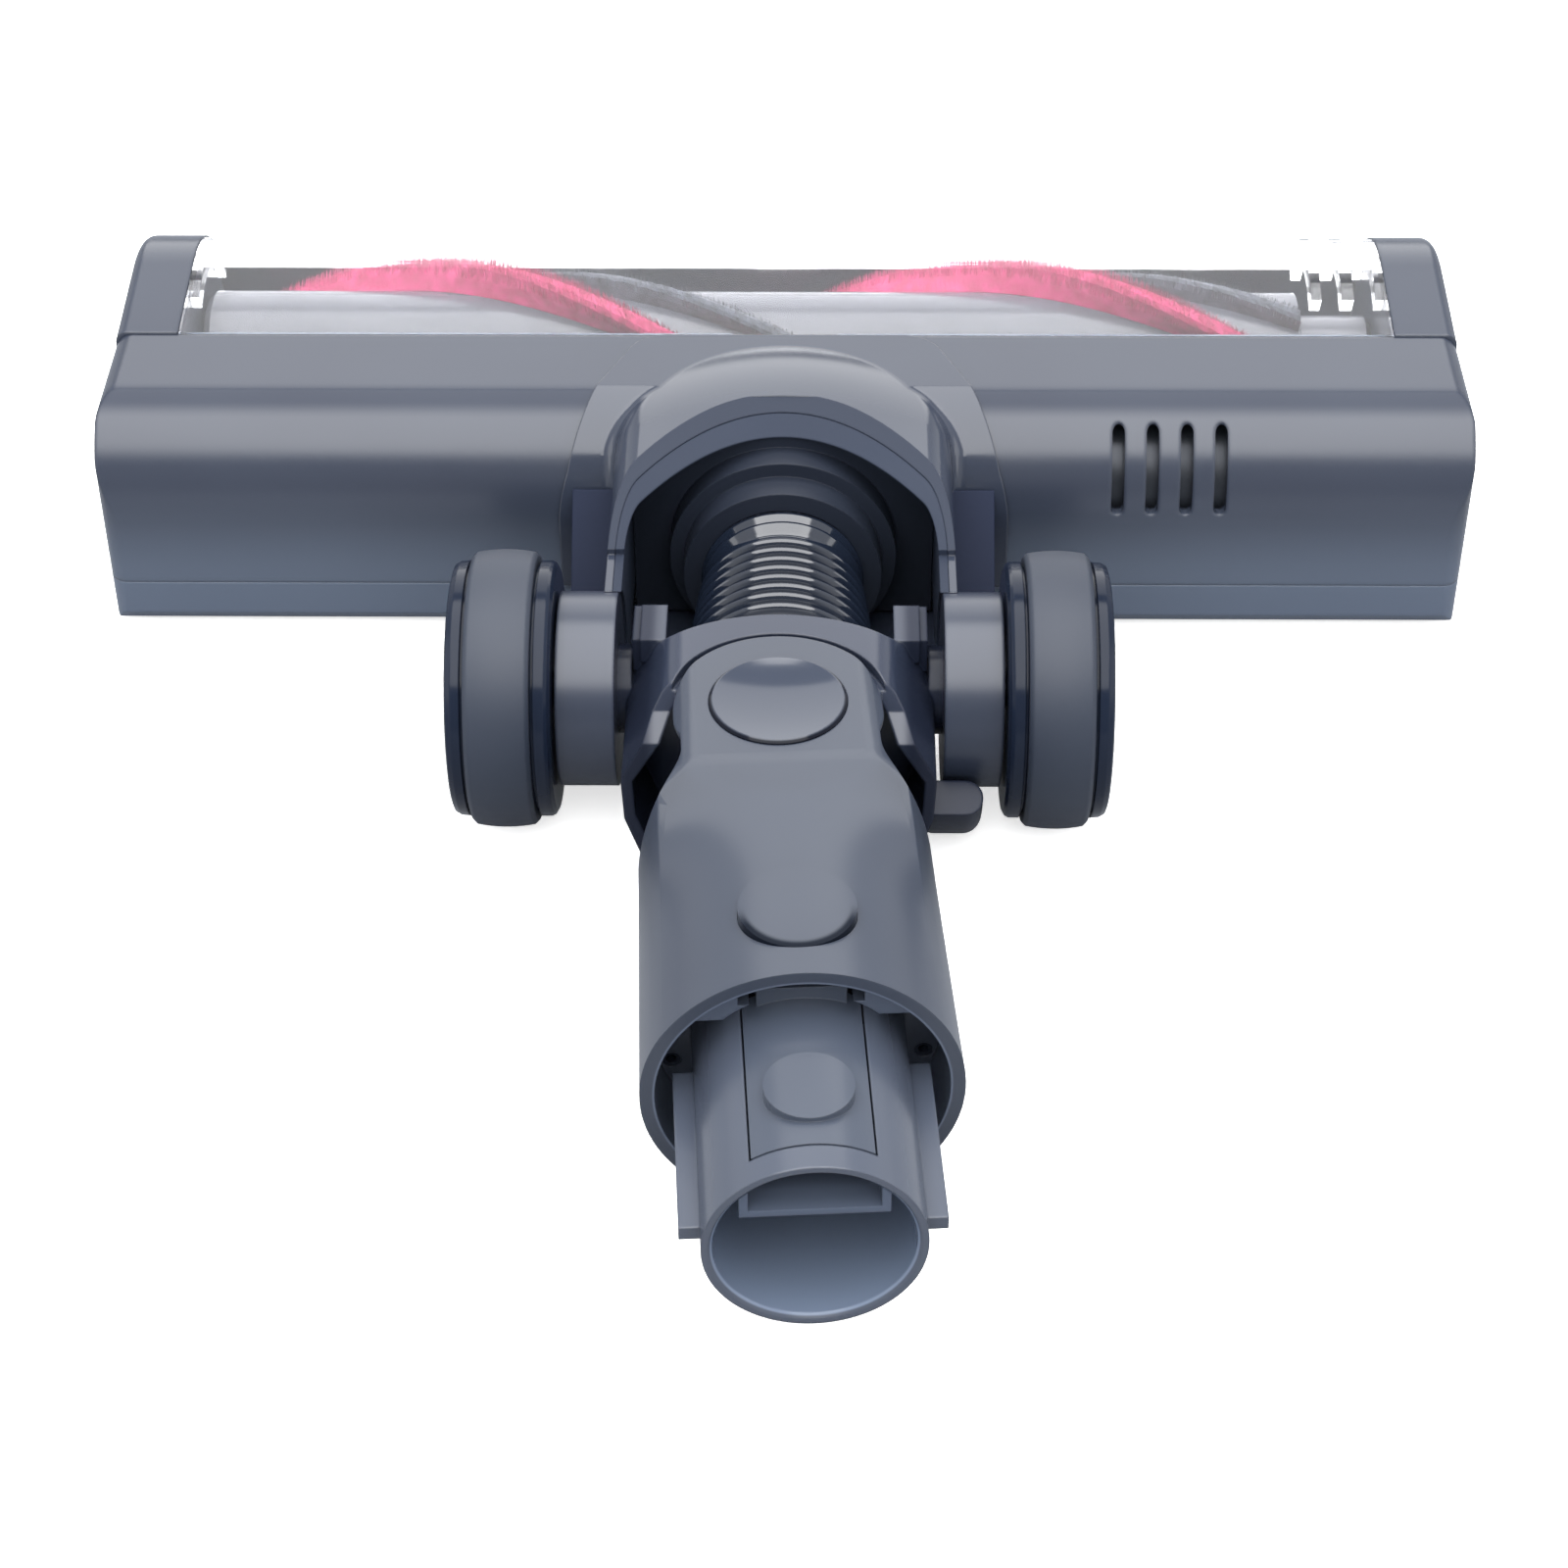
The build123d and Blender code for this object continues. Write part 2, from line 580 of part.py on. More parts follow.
# Hose port: stepped collar in the hood and the duct to the roller chamber
with BuildPart() as hose_port:
    with BuildSketch(Plane.YZ):
        with BuildLine():
            Polyline(
                (34.2, AXLE_Z + 14.8),
                (34.2, AXLE_Z + 18.6),
                (40.0, AXLE_Z + 18.6),
                (40.0, AXLE_Z + 21.4),
                (45.6, AXLE_Z + 21.4),
                (45.6, AXLE_Z + 19.0),
                (86.0, AXLE_Z + 19.0),
                (86.0, AXLE_Z + 16.4),
                (46.0, AXLE_Z + 16.4),
                (42.0, AXLE_Z + 14.8),
                close=True,
            )
        make_face()
    revolve(axis=Axis((0, 0, AXLE_Z), (0, 1, 0)))
    with Locations((0, 60, 4.4)):
        Box(60, 60, 8.0, mode=Mode.SUBTRACT)
    with BuildSketch(Plane.XZ.offset(-45.5)) as port_plate:
        with BuildLine():
            draw_arch(LINER_IN + 0.1, 8.4)
        make_face()
        with Locations((0, AXLE_Z)):
            Circle(17.0, mode=Mode.SUBTRACT)
    extrude(amount=-(REAR_Y - 45.5 - 0.05))

# Brush roller: core tube with a slim drive end, plugs and pulley
core_end = CAP_IN - 1.0

with BuildPart() as brush_core:
    with BuildSketch(Plane.XY.offset(ROLLER_Z)):
        with BuildLine():
            Polyline(
                (-core_end, ROLLER_Y + 5.0),
                (-core_end, ROLLER_Y + 12.6),
                (-core_end + 1.4, ROLLER_Y + CORE_R),
                (core_end - 14.4, ROLLER_Y + CORE_R),
                (core_end - 14.0, ROLLER_Y + 13.0),
                (core_end - 14.0, ROLLER_Y + 9.4),
                (core_end - 0.2, ROLLER_Y + 9.4),
                (core_end - 0.2, ROLLER_Y + 5.0),
                (core_end - 6.8, ROLLER_Y + 5.0),
                (core_end - 6.8, ROLLER_Y + 7.4),
                (core_end - 16.2, ROLLER_Y + 7.4),
                (core_end - 16.2, ROLLER_Y + 12.0),
                (-core_end + 6.4, ROLLER_Y + 12.0),
                (-core_end + 6.4, ROLLER_Y + 5.0),
                close=True,
            )
        make_face()
    revolve(axis=Axis((0, ROLLER_Y, ROLLER_Z), (1, 0, 0)))

with BuildPart() as roller_end_plugs:
    for start, length, radius in ((-core_end - 5.6, 12.0, 3.0), (-core_end + 0.1, 6.3, 4.95),
                                  (core_end - 6.6, 6.3, 4.95), (core_end - 6.6, 16.0, 3.0)):
        with BuildSketch(Plane.YZ.offset(start)):
            with Locations((ROLLER_Y, ROLLER_Z)):
                Circle(radius)
        extrude(amount=length)

with BuildPart() as roller_bearings:
    for start, length in ((-CAP_IN - 5.8, 5.6), (CAP_IN + 0.1, 2.2)):
        with BuildSketch(Plane.YZ.offset(start)):
            with Locations((ROLLER_Y, ROLLER_Z)):
                Circle(7.98)
                Circle(3.0 + RUN_GAP, mode=Mode.SUBTRACT)
        extrude(amount=length)

with BuildPart() as roller_pulley:
    with BuildSketch(Plane.YZ.offset(BELT_X - BELT_W / 2 - 0.3)):
        with Locations((ROLLER_Y, ROLLER_Z)):
            Circle(DRIVEN_R)
            Circle(3.02, mode=Mode.SUBTRACT)
    extrude(amount=BELT_W + 0.6)


STRIP_STEPS = 12
STRIP_STEP = (STRIP_END - STRIP_START) / STRIP_STEPS

def strip_plane(turn, position):
    """Plane across the roller at one place, with x pointing out along the strip."""
    angle = math.radians(turn)
    return Plane(
        origin=(position, ROLLER_Y, ROLLER_Z),
        x_dir=(0, math.cos(angle), math.sin(angle)),
        z_dir=(1, 0, 0),
    )


with BuildPart() as bristle_strips:
    for start_turn in (STRIP_PHASE, STRIP_PHASE + 180):
        for step in range(STRIP_STEPS + 1):
            turn = start_turn + 360 * step * STRIP_STEP / STRIP_PITCH
            with BuildSketch(strip_plane(turn, STRIP_START + step * STRIP_STEP)):
                with Locations(((CORE_R + 0.25 + BRISTLE_R) / 2, 0)):
                    Rectangle(BRISTLE_R - CORE_R - 0.25, 4.6)
        loft()

with BuildPart() as soft_strips:
    for start_turn in (STRIP_PHASE - 40, STRIP_PHASE + 140):
        for step in range(STRIP_STEPS + 1):
            turn = start_turn + 360 * step * STRIP_STEP / STRIP_PITCH
            with BuildSketch(strip_plane(turn, STRIP_START + step * STRIP_STEP)):
                with Locations(((CORE_R + 0.25 + SOFT_R) / 2, 0)):
                    Rectangle(SOFT_R - CORE_R - 0.25, 3.2)
        loft()

# Motor, its bracket, shaft, drive pulley and belt
with BuildPart() as motor_case:
    with BuildSketch(Plane.YZ.offset(MOTOR_X)):
        with Locations((MOTOR_Y, MOTOR_Z)):
            Circle(MOTOR_R)
    extrude(amount=58.0)
    with BuildSketch(Plane.YZ.offset(MOTOR_X + 57.9)):
        with Locations((MOTOR_Y, MOTOR_Z)):
            Circle(5.0)
    extrude(amount=3.0)
    chamfer(motor_case.faces().filter_by(Axis.X).sort_by(Axis.X)[0].edges(), length=1.2)
    with BuildSketch(Plane.YZ.offset(MOTOR_X + 13.0)):
        with Locations((MOTOR_Y, MOTOR_Z)):
            Circle(1.5 + RUN_GAP)
    extrude(amount=60.0, mode=Mode.SUBTRACT)

with BuildPart() as motor_bracket:
    with BuildSketch(Plane.YZ.offset(MOTOR_X + 58.1)):
        with Locations((MOTOR_Y + 1.0, MOTOR_Z - 3.0)):
            Rectangle(24.0, 24.0)
        with Locations((MOTOR_Y, MOTOR_Z)):
            Circle(5.02, mode=Mode.SUBTRACT)
    extrude(amount=3.2)
    with Locations((MOTOR_X + 25.0, MOTOR_Y, 9.0)):
        Box(28.0, 20.0, 9.1)
    with Locations((MOTOR_X + 25.0, MOTOR_Y, 14.5)):
        Box(28.0, 20.0, 2.2)
    with Locations((MOTOR_X + 48.6, MOTOR_Y + 5.0, 12.6)):
        Box(21.2, 6.0, 1.9)
    with BuildSketch(Plane.YZ.offset(MOTOR_X + 3.0)):
        with Locations((MOTOR_Y, MOTOR_Z)):
            Circle(MOTOR_R + 0.02)
    extrude(amount=55.05, mode=Mode.SUBTRACT)

with BuildPart() as motor_shaft:
    with BuildSketch(Plane.YZ.offset(MOTOR_X + 14.0)):
        with Locations((MOTOR_Y, MOTOR_Z)):
            Circle(1.5)
    extrude(amount=67.0)

with BuildPart() as motor_pulley:
    with BuildSketch(Plane.YZ.offset(BELT_X - BELT_W / 2 - 0.3)):
        with Locations((MOTOR_Y, MOTOR_Z)):
            Circle(DRIVE_R)
            Circle(1.52, mode=Mode.SUBTRACT)
    extrude(amount=BELT_W + 0.6)

with BuildPart() as drive_belt:
    with BuildSketch(Plane.YZ.offset(BELT_X - BELT_W / 2)):
        with Locations((MOTOR_Y, MOTOR_Z)):
            Circle(DRIVE_R + BELT_T + RUN_GAP)
        with Locations((ROLLER_Y, ROLLER_Z)):
            Circle(DRIVEN_R + BELT_T + RUN_GAP)
        make_hull()
        with BuildSketch(mode=Mode.SUBTRACT):
            with Locations((MOTOR_Y, MOTOR_Z)):
                Circle(DRIVE_R + RUN_GAP)
            with Locations((ROLLER_Y, ROLLER_Z)):
                Circle(DRIVEN_R + RUN_GAP)
            make_hull()
    extrude(amount=BELT_W)

# Circuit board on four posts in the left room
with BuildPart() as circuit_board:
    with Locations((BOARD_X, 67.0, 15.0)):
        Box(48.0, 24.0, 1.6)
    with Locations((BOARD_X - 12.0, 67.0, 18.8)):
        Box(10.0, 12.0, 6.0)
    with Locations((BOARD_X + 12.0, 70.0, 17.8)):
        Box(8.0, 6.0, 4.0)
    with Locations(*[(BOARD_X + x, y, 9.35) for x in (-22.2, 21.0) for y in (58.0, 76.0)]):
        Cylinder(1.4, 9.7)

# Wiper strip behind the suction opening
with BuildPart() as wiper_strip:
    with Locations((0, WIPER_Y, 2.3)):
        Box(2 * WIPER_HALF, 1.6, 4.1)

# Roller lock slider under the left end
with BuildPart() as roller_lock:
    with Locations((-CAP_IN - 0.2, 96.0, SOLE_Z + 0.05)):
        Box(12.0, 9.0, 2.3)
    with Locations((-CAP_IN - 0.2, 96.0, SOLE_Z - 1.2), (-CAP_IN - 2.7, 96.0, SOLE_Z - 1.2)):
        Box(1.2, 7.0, 0.6)

# Small support rollers under the head, with their axles
rollers = {}
for roller_name, side in (("left_support_roller", -1), ("right_support_roller", 1)):
    with BuildPart() as roller:
        with BuildSketch(Plane.YZ.offset(side * ROLLER_X - 4.0)):
            with Locations((58.0, 5.0)):
                Circle(5.0)
                Circle(1.5 + RUN_GAP, mode=Mode.SUBTRACT)
        extrude(amount=8.0)
        chamfer(roller.edges().filter_by(GeomType.CIRCLE).group_by(SortBy.RADIUS)[-1], length=0.5)
    rollers[roller_name] = roller.part
left_support_roller = rollers["left_support_roller"]
right_support_roller = rollers["right_support_roller"]

with BuildPart() as support_axles:
    for side in (-1, 1):
        with BuildSketch(Plane.YZ.offset(side * ROLLER_X - 6.0)):
            with Locations((58.0, 5.0)):
                Circle(1.5)
        extrude(amount=12.0)

# Screws of the sole, one group
with BuildPart() as sole_screws:
    for x, y in ((-SCREW_X, 112.0), (SCREW_X, 112.0), (-60.0, SCREW_Y), (60.0, SCREW_Y)):
        with BuildSketch(Plane.XY.offset(SOLE_Z + 0.8)):
            with Locations((x, y)):
                Circle(1.6)
        extrude(amount=6.0)

# Wheels: stepped gloss hub and crowned rubber tyre, one of each per side
wheel_parts = {}
for side_name, side in (("left", -1), ("right", 1)):
    with BuildPart() as wheel_hub:
        with BuildSketch(Plane.XY.offset(AXLE_Z)):
            with BuildLine():
                Polyline(
                    (side * (WHEEL_IN + 0.6), 3.05),
                    (side * (WHEEL_IN + 0.6), 12.0),
                    (side * WHEEL_IN, 12.0),
                    (side * WHEEL_IN, 21.8),
                    (side * (WHEEL_IN + 0.5), RIM_R - 0.3),
                    (side * (WHEEL_IN + 1.1), RIM_R),
                    (side * (TYRE_IN - 0.6), RIM_R),
                    (side * (TYRE_IN - 0.6), RIM_R - 0.9),
                    (side * TYRE_IN, RIM_R - 0.9),
                    (side * TYRE_IN, 21.0),
                    (side * TYRE_OUT, 21.0),
                    (side * TYRE_OUT, RIM_R - 0.9),
                    (side * (TYRE_OUT + 0.6), RIM_R - 0.9),
                    (side * (TYRE_OUT + 0.6), RIM_R),
                    (side * (WHEEL_OUT - 1.8), RIM_R - 0.1),
                    (side * (WHEEL_OUT - 0.9), RIM_R - 0.6),
                    (side * (WHEEL_OUT - 0.6), RIM_R - 1.4),
                    (side * (WHEEL_OUT - 0.6), 18.4),
                    (side * (WHEEL_OUT - 1.4), 18.0),
                    (side * (WHEEL_OUT - 1.4), 9.0),
                    (side * WHEEL_OUT, 8.4),
                    (side * WHEEL_OUT, 0),
                    (side * (WHEEL_OUT - 4.0), 0),
                    (side * (WHEEL_OUT - 4.0), 3.05),
                    close=True,
                )
            make_face()
        revolve(axis=Axis((0, 0, AXLE_Z), (1, 0, 0)))
    wheel_parts[side_name + "_wheel_hub"] = wheel_hub.part
    with BuildPart() as wheel_tyre:
        with BuildSketch(Plane.XY.offset(AXLE_Z)):
            with BuildLine():
                Polyline(
                    (side * (TYRE_OUT - 0.7), WHEEL_R - 0.5),
                    (side * (TYRE_OUT - 0.02), WHEEL_R - 1.2),
                    (side * (TYRE_OUT - 0.02), 21.02),
                    (side * (TYRE_IN + 0.02), 21.02),
                    (side * (TYRE_IN + 0.02), WHEEL_R - 1.2),
                    (side * (TYRE_IN + 0.7), WHEEL_R - 0.5),
                )
                ThreePointArc(
                    (side * (TYRE_IN + 0.7), WHEEL_R - 0.5),
                    (side * (TYRE_IN + TYRE_OUT) / 2, WHEEL_R),
                    (side * (TYRE_OUT - 0.7), WHEEL_R - 0.5),
                )
            make_face()
        revolve(axis=Axis((0, 0, AXLE_Z), (1, 0, 0)))
    wheel_parts[side_name + "_wheel_tyre"] = wheel_tyre.part

with BuildPart() as wheel_axle_pins:
    for side in (-1, 1):
        with BuildSketch(Plane.YZ.offset(side * (CYLINDER_OUT - 3.9))):
            with Locations((0, AXLE_Z)):
                Circle(2.99)
        extrude(amount=side * 19.0)

# Neck base: barrel between the cylinders, open at the back, with trunnions
HOSE_PASS_R = HOSE_NARROW_R + 0.9
POCKET_Z = 42.4
BASE_TOP = 44.6
BASE_LOW = 4.6
FRONT_ARC_R = 32.2
FRONT_ARC_Y = -35.9

with BuildPart() as neck_base:
    with BuildSketch(Plane.XZ.offset(-22)) as barrel:
        with BuildLine():
            half = [(BASE_HALF - 8.6, BASE_TOP), (BASE_HALF, 28), (BASE_HALF - 0.4, 19),
                    (BASE_HALF - 3.8, 8.5), (BASE_HALF - 12, BASE_LOW)]
            Polyline(*half, *[(-x, z) for x, z in reversed(half)], close=True)
        make_face()
        fillet(barrel.vertices().group_by(Axis.Y)[-1], radius=6.0)
        fillet(barrel.vertices().filter_by(lambda v: 6 < v.Y < 30), radius=4.0)
    extrude(amount=51)
    # Curved front edge of the plateau, falling away below it
    with BuildSketch(Plane.XY.offset(BASE_TOP + 1)):
        with Locations((0, FRONT_ARC_Y)):
            Circle(FRONT_ARC_R - 1)
    extrude(amount=-(BASE_TOP + 1), taper=-45, mode=Mode.INTERSECT)
    with BuildSketch(Plane.YZ.offset(-30)):
        with BuildLine():
            Polyline((6.0, 46), (-29.0, 46), (-29.0, BASE_LOW), (0, BASE_LOW))
            ThreePointArc((0, BASE_LOW), (14.4, 10.6), (19.0, AXLE_Z))
            Polyline((19.0, AXLE_Z), (19.0, 33.0), (6.0, 46))
        make_face()
    extrude(amount=60, mode=Mode.INTERSECT)
    # Hose passage, wide in front and narrow under the pivot
    with BuildSketch(Plane.XZ.offset(-30)):
        with Locations((0, AXLE_Z)):
            Circle(HOSE_PASS_R)
    extrude(amount=60, mode=Mode.SUBTRACT)
    with BuildSketch(Plane.XZ.offset(-30)):
        with Locations((0, AXLE_Z)):
            Circle(18.2)
    extrude(amount=30.2, mode=Mode.SUBTRACT)
    # Hollow between the horns at the back
    with BuildSketch(Plane.XZ.offset(12)):
        with BuildLine():
            half = [(BASE_HALF - 10, 40.9), (BASE_HALF - 2.1, 27.4), (BASE_HALF - 2.4, 20),
                    (BASE_HALF - 5.8, 10), (BASE_HALF - 12.8, 7.2)]
            Polyline(*half, *[(-x, z) for x, z in reversed(half)], close=True)
        make_face()
    extrude(amount=20, mode=Mode.SUBTRACT)
    # Pocket for the tine and the notches beside it
    with BuildSketch(Plane.XY.offset(POCKET_Z)):
        with Locations((0, PIN_Y)):
            Circle(TINE_R + 1.3)
    extrude(amount=8, mode=Mode.SUBTRACT)
    for side in (-1, 1):
        with BuildSketch(Plane.YZ.offset(side * 17.6)):
            with BuildLine():
                Polyline((-20, 48), (-24, 39), (-31, 34.5), (-31, 48), close=True)
            make_face()
        extrude(amount=side * 14, mode=Mode.SUBTRACT)
    # Top and bottom plates that hold the swivel bosses
    for low, high in ((40.95, POCKET_Z), (BASE_LOW, 7.2)):
        with BuildSketch(Plane.XY.offset(low)):
            with Locations((0, PIN_Y)):
                Circle(7.4)
            with Locations((0, PIN_Y + 9)):
                Rectangle(14.8, 18)
        extrude(amount=high - low)
        with BuildSketch(Plane.XY.offset(low - 1)):
            with Locations((0, PIN_Y)):
                Circle(PIVOT_R + RUN_GAP)
        extrude(amount=high - low + 2, mode=Mode.SUBTRACT)
    # Trunnions and the two lugs
    for side in (-1, 1):
        with BuildSketch(Plane.YZ.offset(side * (BASE_HALF - 1.0))):
            with Locations((0, AXLE_Z)):
                Circle(TRUNNION_R)
        extrude(amount=side * (CYLINDER_IN + 4.8 - BASE_HALF + 1.0))
        with Locations((side * (BASE_HALF - 5.0), 0.1, 37.4)):
            Box(4.6, 10.4, 5.0)
        with Locations((side * (BASE_HALF - 2.0), 1.6, 35.2)):
            Box(1.4, 10.0, 7.0)
    # Rounded cable pod below the right cylinder
    with BuildSketch(Plane((0, 0, AXLE_Z), x_dir=(1, 0, 0), z_dir=(0, -0.342, 0.940))):
        with Locations((30.2, -22.4)):
            RectangleRounded(11.6, 7.0, 3.3)
    revolve(axis=Axis((0, 0, AXLE_Z), (1, 0, 0)), revolution_arc=42)

# Corrugated air hose from the hood through the base into the swivel tube
with BuildPart() as air_hose:
    with BuildSketch(Plane.XY.offset(AXLE_Z)):
        with BuildLine():
            ridges = [30.2, 27.4] + [21.2 - HOSE_PITCH * i for i in range(7)]
            outer = [(14.2, 34.1), (16.0, 34.1), (16.0, 31.8)]
            for ridge in ridges:
                outer += [(HOSE_R, ridge + 0.55), (HOSE_R, ridge - 0.55), (16.2, ridge - 1.3)]
            narrow = [-4.0 - 4.4 * i for i in range(9)]
            outer += [(15.0, 0.6)]
            for ridge in narrow:
                outer += [(HOSE_NARROW_R, ridge + 0.9), (HOSE_NARROW_R, ridge - 0.9),
                          (14.1, ridge - 1.7)]
            outer += [(14.1, -44.0), (13.0, -44.0), (13.0, -4.0), (14.2, 0.0)]
            Polyline(*outer, close=True)
        make_face()
    revolve(axis=Axis((0, 0, AXLE_Z), (0, 1, 0)))

# Swivel tube: tine over the base, flaring into the round shroud
TINE_UNDER = POCKET_Z + 0.1
CUT_R = 18.6
CUT_Y = -41.6

with BuildPart() as swivel_tube:
    with BuildSketch(Plane.YZ):
        with BuildLine():
            Polyline((-8, TUBE_Z), (-8, TUBE_Z + 24.2), (-56, TUBE_Z + 24.8),
                     (RIM_Y, TUBE_Z + TUBE_R), (RIM_Y, TUBE_Z), close=True)
        make_face()
    revolve(axis=Axis((0, 0, TUBE_Z), (0, 1, 0)))
    with BuildSketch(Plane.YZ.offset(-40)):
        with BuildLine():
            Line((-6, TINE_UNDER), (-6, TINE_Z))
            Line((-6, TINE_Z), (-42, TINE_Z))
            Spline((-42, TINE_Z), (-52, 47.6), (-66, 52.5), tangents=[(-1, 0), (-1, 0.15)])
            Polyline((-66, 52.5), (RIM_Y - 1, 54), (RIM_Y - 1, -4), (CUT_Y, -4), (CUT_Y, 7.5))
            ThreePointArc((CUT_Y, 7.5), (PIN_Y - CUT_R, AXLE_Z), (CUT_Y, TINE_UNDER))
            Line((CUT_Y, TINE_UNDER), (-6, TINE_UNDER))
        make_face()
    extrude(amount=80, mode=Mode.INTERSECT)
    with BuildSketch(Plane.XY.offset(-5)):
        with BuildLine():
            Polyline((TINE_HALF, PIN_Y), (TINE_HALF, -38.5))
            Spline((TINE_HALF, -38.5), (20.2, -44.5), (27.0, -54.0), tangents=[(0, -1), (0.6, -1)])
            Polyline((27.0, -54.0), (28.0, RIM_Y - 1), (-28.0, RIM_Y - 1), (-27.0, -54.0))
            Spline((-27.0, -54.0), (-20.2, -44.5), (-TINE_HALF, -38.5),
                   tangents=[(0.6, 1), (0, 1)])
            Polyline((-TINE_HALF, -38.5), (-TINE_HALF, PIN_Y), (TINE_HALF, PIN_Y))
        make_face()
        with Locations((0, PIN_Y)):
            Circle(TINE_R)
    extrude(amount=70, mode=Mode.INTERSECT)
    # Soft blend where the flat tine runs out into the round tube
    blend = swivel_tube.edges().filter_by(GeomType.LINE, reverse=True).filter_by(
        lambda e: e.center().Y > -60 and e.center().Y < PIN_Y
        and min(e.position_at(0).Z, e.position_at(1).Z) > TINE_Z - 0.1
    )
    fillet(blend, radius=4.0)
    # Lower tine and the two pivot bosses
    with BuildSketch(Plane.XY.offset(1.4)):
        with Locations((0, PIN_Y)):
            Circle(10.0)
        with Locations((0, (PIN_Y - 52) / 2)):
            Rectangle(16.0, abs(PIN_Y + 52))
    extrude(amount=3.1)
    for low, high in ((41.0, TINE_UNDER + 0.5), (4.0, 7.1)):
        with BuildSketch(Plane.XY.offset(low)):
            with Locations((0, PIN_Y)):
                Circle(PIVOT_R)
        extrude(amount=high - low)
    # Airway, seat of the connector tube and the open shroud behind it
    with BuildSketch(Plane.XZ.offset(30)):
        with Locations((0, AXLE_Z)):
            Circle(15.2)
    extrude(amount=32, mode=Mode.SUBTRACT)
    with BuildSketch(Plane.XZ.offset(60)):
        with Locations((0, TUBE_Z)):
            Circle(SPIGOT_R + 0.02)
    extrude(amount=60, mode=Mode.SUBTRACT)
    with BuildSketch(Plane.XZ.offset(98.4)):
        with Locations((0, TUBE_Z)):
            Circle(TUBE_R - TUBE_WALL)
    extrude(amount=10, mode=Mode.SUBTRACT)
    with BuildSketch(Plane.XZ.offset(88.0)):
        with Locations((0, TUBE_Z)):
            Circle(TUBE_R - TUBE_WALL)
        with Locations((0, 38 + 20)):
            Rectangle(60, 40, mode=Mode.SUBTRACT)
    extrude(amount=20, mode=Mode.SUBTRACT)
    # Room for the latch lever and the window for the button
    with Locations((0, -79.4, 45.7)):
        Box(20.4, 38.4, 5.4, mode=Mode.SUBTRACT)
    with Locations((0, -92.0, 42.5)):
        Box(19.6, 14.0, 3.0, mode=Mode.SUBTRACT)
    with BuildSketch(Plane.XY.offset(47)):
        with Locations((0, BUTTON_Y)):
            Circle(9.38)
    extrude(amount=10, mode=Mode.SUBTRACT)
    # Recess for the pivot cap, bores of the latch axle and the contacts
    with BuildSketch(Plane.XY.offset(43.7)):
        with Locations((0, PIN_Y)):
            Circle(11.85)
    extrude(amount=4, mode=Mode.SUBTRACT)
    with BuildSketch(Plane.YZ.offset(-12.5)):
        with Locations((LATCH_Y, LATCH_Z)):
            Circle(1.22)
    extrude(amount=25, mode=Mode.SUBTRACT)
    with BuildSketch(Plane.XZ.offset(80)):
        with Locations((-20.3, 19.6), (20.3, 19.6)):
            Circle(1.52)
    extrude(amount=20, mode=Mode.SUBTRACT)

# Pivot cap with a dished top
CAP_DISH_R = (11.2**2 + 1.0) / 2.0
CAP_DISH_TURN = math.degrees(math.asin(11.2 / CAP_DISH_R))

with BuildPart() as pivot_cap:
    with BuildSketch(Plane.XZ.offset(-PIN_Y)):
        with BuildLine():
            Polyline((0, 44.7), (0, 43.75), (11.8, 43.75), (11.8, 45.2), (11.2, 45.7))
            CenterArc((0, 44.7 + CAP_DISH_R), CAP_DISH_R, -90, CAP_DISH_TURN)
        make_face()
    revolve(axis=Axis((0, PIN_Y, 0), (0, 0, 1)))

# Connector tube with side rails and the slot for the latch tongue
with BuildPart() as connector_tube:
    with BuildSketch(Plane.XZ.offset(60.1)):
        with Locations((0, TUBE_Z)):
            Circle(SPIGOT_R)
    extrude(amount=abs(MOUTH_Y) - 60.1)
    for side in (-1, 1):
        with Locations((side * (SPIGOT_R + 1.5), (RIM_Y + MOUTH_Y + 8.0) / 2, TUBE_Z)):
            Box(3.4, RIM_Y - MOUTH_Y + 0.4, 2.4)
    with BuildSketch(Plane.XZ.offset(60)):
        with Locations((0, TUBE_Z)):
            Circle(SPIGOT_R - SPIGOT_WALL)
    extrude(amount=80, mode=Mode.SUBTRACT)
    mouth_rim = connector_tube.faces().sort_by(Axis.Y)[0].inner_wires()[0].edges()
    chamfer(mouth_rim, length=0.7)
    with Locations((0, -112.7, TUBE_Z + 15)):
        Box(19.0, 35.8, 20.0, mode=Mode.SUBTRACT)

with BuildPart() as latch_box:
    with BuildSketch(Plane.XZ.offset(96.0)):
        with Locations((0, 33.0)):
            Rectangle(22.6, 1.2)
        with Locations((-10.6, 36.0), (10.6, 36.0)):
            Rectangle(1.4, 7.0)
        with Locations((0, TUBE_Z)):
            Circle(SPIGOT_R - SPIGOT_WALL - 0.02, mode=Mode.INTERSECT)
    extrude(amount=38.6)

